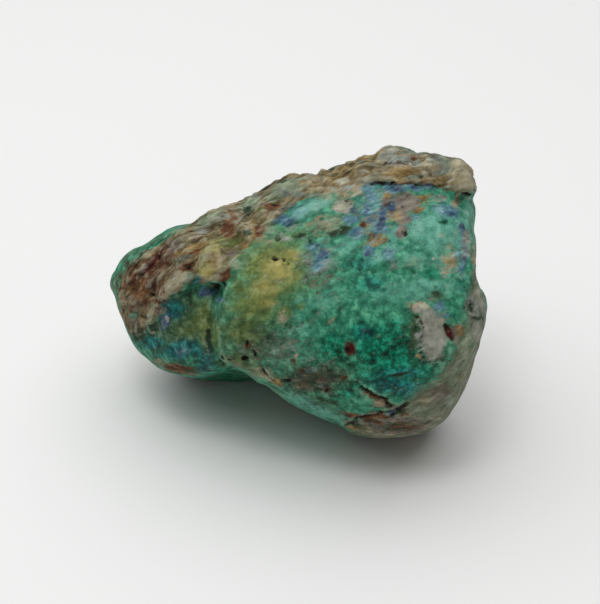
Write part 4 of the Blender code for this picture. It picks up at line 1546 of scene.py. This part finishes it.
    def bumped(self, bench: Bench, place: Link) -> None:
        """Roughen the surface below the size of the mesh.

        Args:
            bench: the material's tree.
            place: where on the stone, in millimetres.
        """
        rough = bench.attribute(Mineral.RIM.value) * (1 - self.bump_on_crust) + self.bump_on_crust
        height = bench.grain(place, *self.grain_bump_detail) * rough * self.grain_bump
        height = height + bench.grain(place, *self.fine_bump_detail) * self.fine_bump
        bump = bench.node("ShaderNodeBump", {}, {"Distance": 1.0, "Strength": 1.0, "Height": height})
        bench.feed(bench.shader.inputs["Normal"], bump.outputs[0])


@dataclass
class Specimen:
    """The whole stone."""

    name: str = "stone"
    body: str = "root"
    node: str = "specimen"
    slot: str = "ore"
    show_side: ShowSide = ShowSide()
    grid: float = 0.35
    rounding: int = 10
    hollow_rounding: int = 9
    front_turn: tuple[float, float] = (0.02, 0.28)
    outline_turn: tuple[float, float] = (-0.6, -0.2)
    calm_rise: tuple[float, float] = (0.2, 0.9)
    stand_rise: tuple[float, float] = (0.3, 0.8)
    groove_break: Grain = Grain(1.3, 1.0, 9)
    groove_break_rise: tuple[float, float] = (-0.7, 0.2)

    def remeshed(self, solid: bpy.types.Object) -> bpy.types.Object:
        """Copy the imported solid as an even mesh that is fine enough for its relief.

        Args:
            solid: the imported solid.

        Returns:
            The new piece.
        """
        piece = bpy.data.objects.new(self.name, solid.data.copy())
        bpy.context.scene.collection.objects.link(piece)
        grid = piece.modifiers.new("even_grid", "REMESH")
        grid.mode = "VOXEL"
        grid.voxel_size = self.grid * MM
        mesh = bpy.data.meshes.new_from_object(piece.evaluated_get(bpy.context.evaluated_depsgraph_get()))
        piece.modifiers.clear()
        piece.data = mesh
        mesh.name = self.name
        return piece

    def shape(self, skin: Skin) -> None:
        """Give the surface its relief, and keep where each mineral and each hollow lies.

        Args:
            skin: the surface.
        """
        skin.points = skin.spread(skin.points, self.rounding)
        normals = skin.normals()
        facing = self.show_side.facing(normals, *self.front_turn)
        provinces = Provinces(skin)
        rim = provinces.rim()
        coat = Coat(skin, facing, rim, provinces.rock(facing))
        covers = coat.covers()
        calm = rise(coat.marked(CALM, facing), *self.calm_rise)
        heights = Relief().heights(skin.points, rim, coat.rock, calm)
        heights = heights + coat.marked(LIFTS, self.show_side.facing(normals, *self.outline_turn))
        for mineral, stand in STANDS.items():
            heights = heights + stand * rise(covers[mineral], *self.stand_rise)
        broken = rise(self.groove_break.heights(skin.points), *self.groove_break_rise)
        for groove in GROOVES:
            distance, _ = from_line(coat.wobbly, self.show_side.from_pixels(groove.course))
            floor = np.exp(-((distance / groove.width) ** 2))
            heights = heights - groove.depth * facing * broken * floor
        skin.move_out(heights)
        skin.store()
        for mineral, cover in covers.items():
            self.keep(skin.mesh, mineral.value, cover)
        smooth = skin.spread(skin.points, self.hollow_rounding)
        depth = ((smooth - skin.points) * skin.normals()).sum(1)
        self.keep(skin.mesh, HOLLOW, depth)

    @staticmethod
    def keep(mesh: bpy.types.Mesh, name: str, values: np.ndarray) -> None:
        """Keep one value for each point in the mesh, under that name."""
        mesh.attributes.new(name, "FLOAT", "POINT").data.foreach_set("value", values.astype(np.float32))

    def build(self, frame: dict[str, Any]) -> bpy.types.Object:
        """Build and dress the stone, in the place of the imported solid.

        Args:
            frame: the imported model.

        Returns:
            The finished piece.
        """
        piece = self.remeshed(frame["nodes"][self.node])
        self.shape(Skin(piece.data, self.show_side))
        piece.data.materials.clear()
        piece.data.materials.append(StoneSurface().make())
        piece.data.shade_smooth()
        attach(piece, self.body)
        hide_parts(self.node)
        return piece


class Lamp(NamedTuple):
    """A round lamp that points at the stone: its width and place in metres, and its power in watts."""

    name: str
    size: float
    place: tuple[float, float, float]
    power: float


@dataclass
class Studio:
    """The plain pale floor, the soft light over it and the camera."""

    show_side: ShowSide = ShowSide()
    floor_size: float = 4.0
    floor_drop: float = 0.00003
    floor_colour: Rgb = (243, 243, 242)
    floor_roughness: float = 0.9
    floor_gloss: float = 0.1
    lamps: tuple[Lamp, ...] = (
        Lamp("soft_lamp", 1.0, (-0.07, 0.04, 0.45), 3.05),
        Lamp("key_lamp", 0.2, (0.0, -0.205, 0.56), 0.5),
    )
    sky_colour: Rgb = (244, 245, 246)
    sky_strength: float = 0.21
    sensor: float = 36.0
    nearest: float = 0.01

    def lay_floor(self) -> None:
        """Lay the floor just under the stone."""
        half = self.floor_size / 2
        mesh = bpy.data.meshes.new("floor")
        corners = [(-half, -half, 0), (half, -half, 0), (half, half, 0), (-half, half, 0)]
        mesh.from_pydata(corners, [], [(0, 1, 2, 3)])
        floor = bpy.data.objects.new("floor", mesh)
        floor.location.z = -self.floor_drop
        bpy.context.scene.collection.objects.link(floor)
        material = bpy.data.materials.new("pale_sheet")
        bench = Bench(material)
        bench.shader.inputs["Base Color"].default_value = daylight(self.floor_colour)
        bench.shader.inputs["Roughness"].default_value = self.floor_roughness
        bench.shader.inputs["Specular IOR Level"].default_value = self.floor_gloss
        mesh.materials.append(material)

    def light(self) -> None:
        """Hang the lamps and light the room."""
        for lamp in self.lamps:
            light = bpy.data.lights.new(lamp.name, "AREA")
            light.shape = "DISK"
            light.size = lamp.size
            light.energy = lamp.power
            hung = bpy.data.objects.new(lamp.name, light)
            hung.location = lamp.place
            hung.rotation_euler = Vector(lamp.place).to_track_quat("Z", "Y").to_euler()
            bpy.context.scene.collection.objects.link(hung)
        world = bpy.data.worlds.new("room")
        world.use_nodes = True
        background = world.node_tree.nodes["Background"]
        background.inputs["Color"].default_value = daylight(self.sky_colour)
        background.inputs["Strength"].default_value = self.sky_strength
        bpy.context.scene.world = world

    def aim_camera(self) -> None:
        """Set the camera where the photograph was taken from."""
        side = self.show_side
        toward = Vector(side.axes()[2])
        data = bpy.data.cameras.new("camera")
        data.sensor_fit = "VERTICAL"
        data.sensor_height = self.sensor
        data.lens = self.sensor * side.pixels_per_mm * side.eye_distance / side.picture_size[1]
        data.clip_start = self.nearest
        camera = bpy.data.objects.new("camera", data)
        camera.location = (Vector(side.aim) + toward * side.eye_distance) * MM
        camera.rotation_euler = toward.to_track_quat("Z", "Y").to_euler()
        bpy.context.scene.collection.objects.link(camera)
        bpy.context.scene.camera = camera

    def set_up(self) -> None:
        """Set up floor, light and camera."""
        self.lay_floor()
        self.light()
        self.aim_camera()
        bpy.context.scene.view_settings.view_transform = "Standard"


def main() -> None:
    """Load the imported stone, dress it and set up the studio."""
    logging.basicConfig(level=logging.INFO, format="%(message)s")
    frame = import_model()
    stone = Specimen().build(frame)
    logging.info("%s: %d points, %d faces", stone.name, len(stone.data.vertices), len(stone.data.polygons))
    Studio().set_up()


if __name__ == "__main__":
    main()
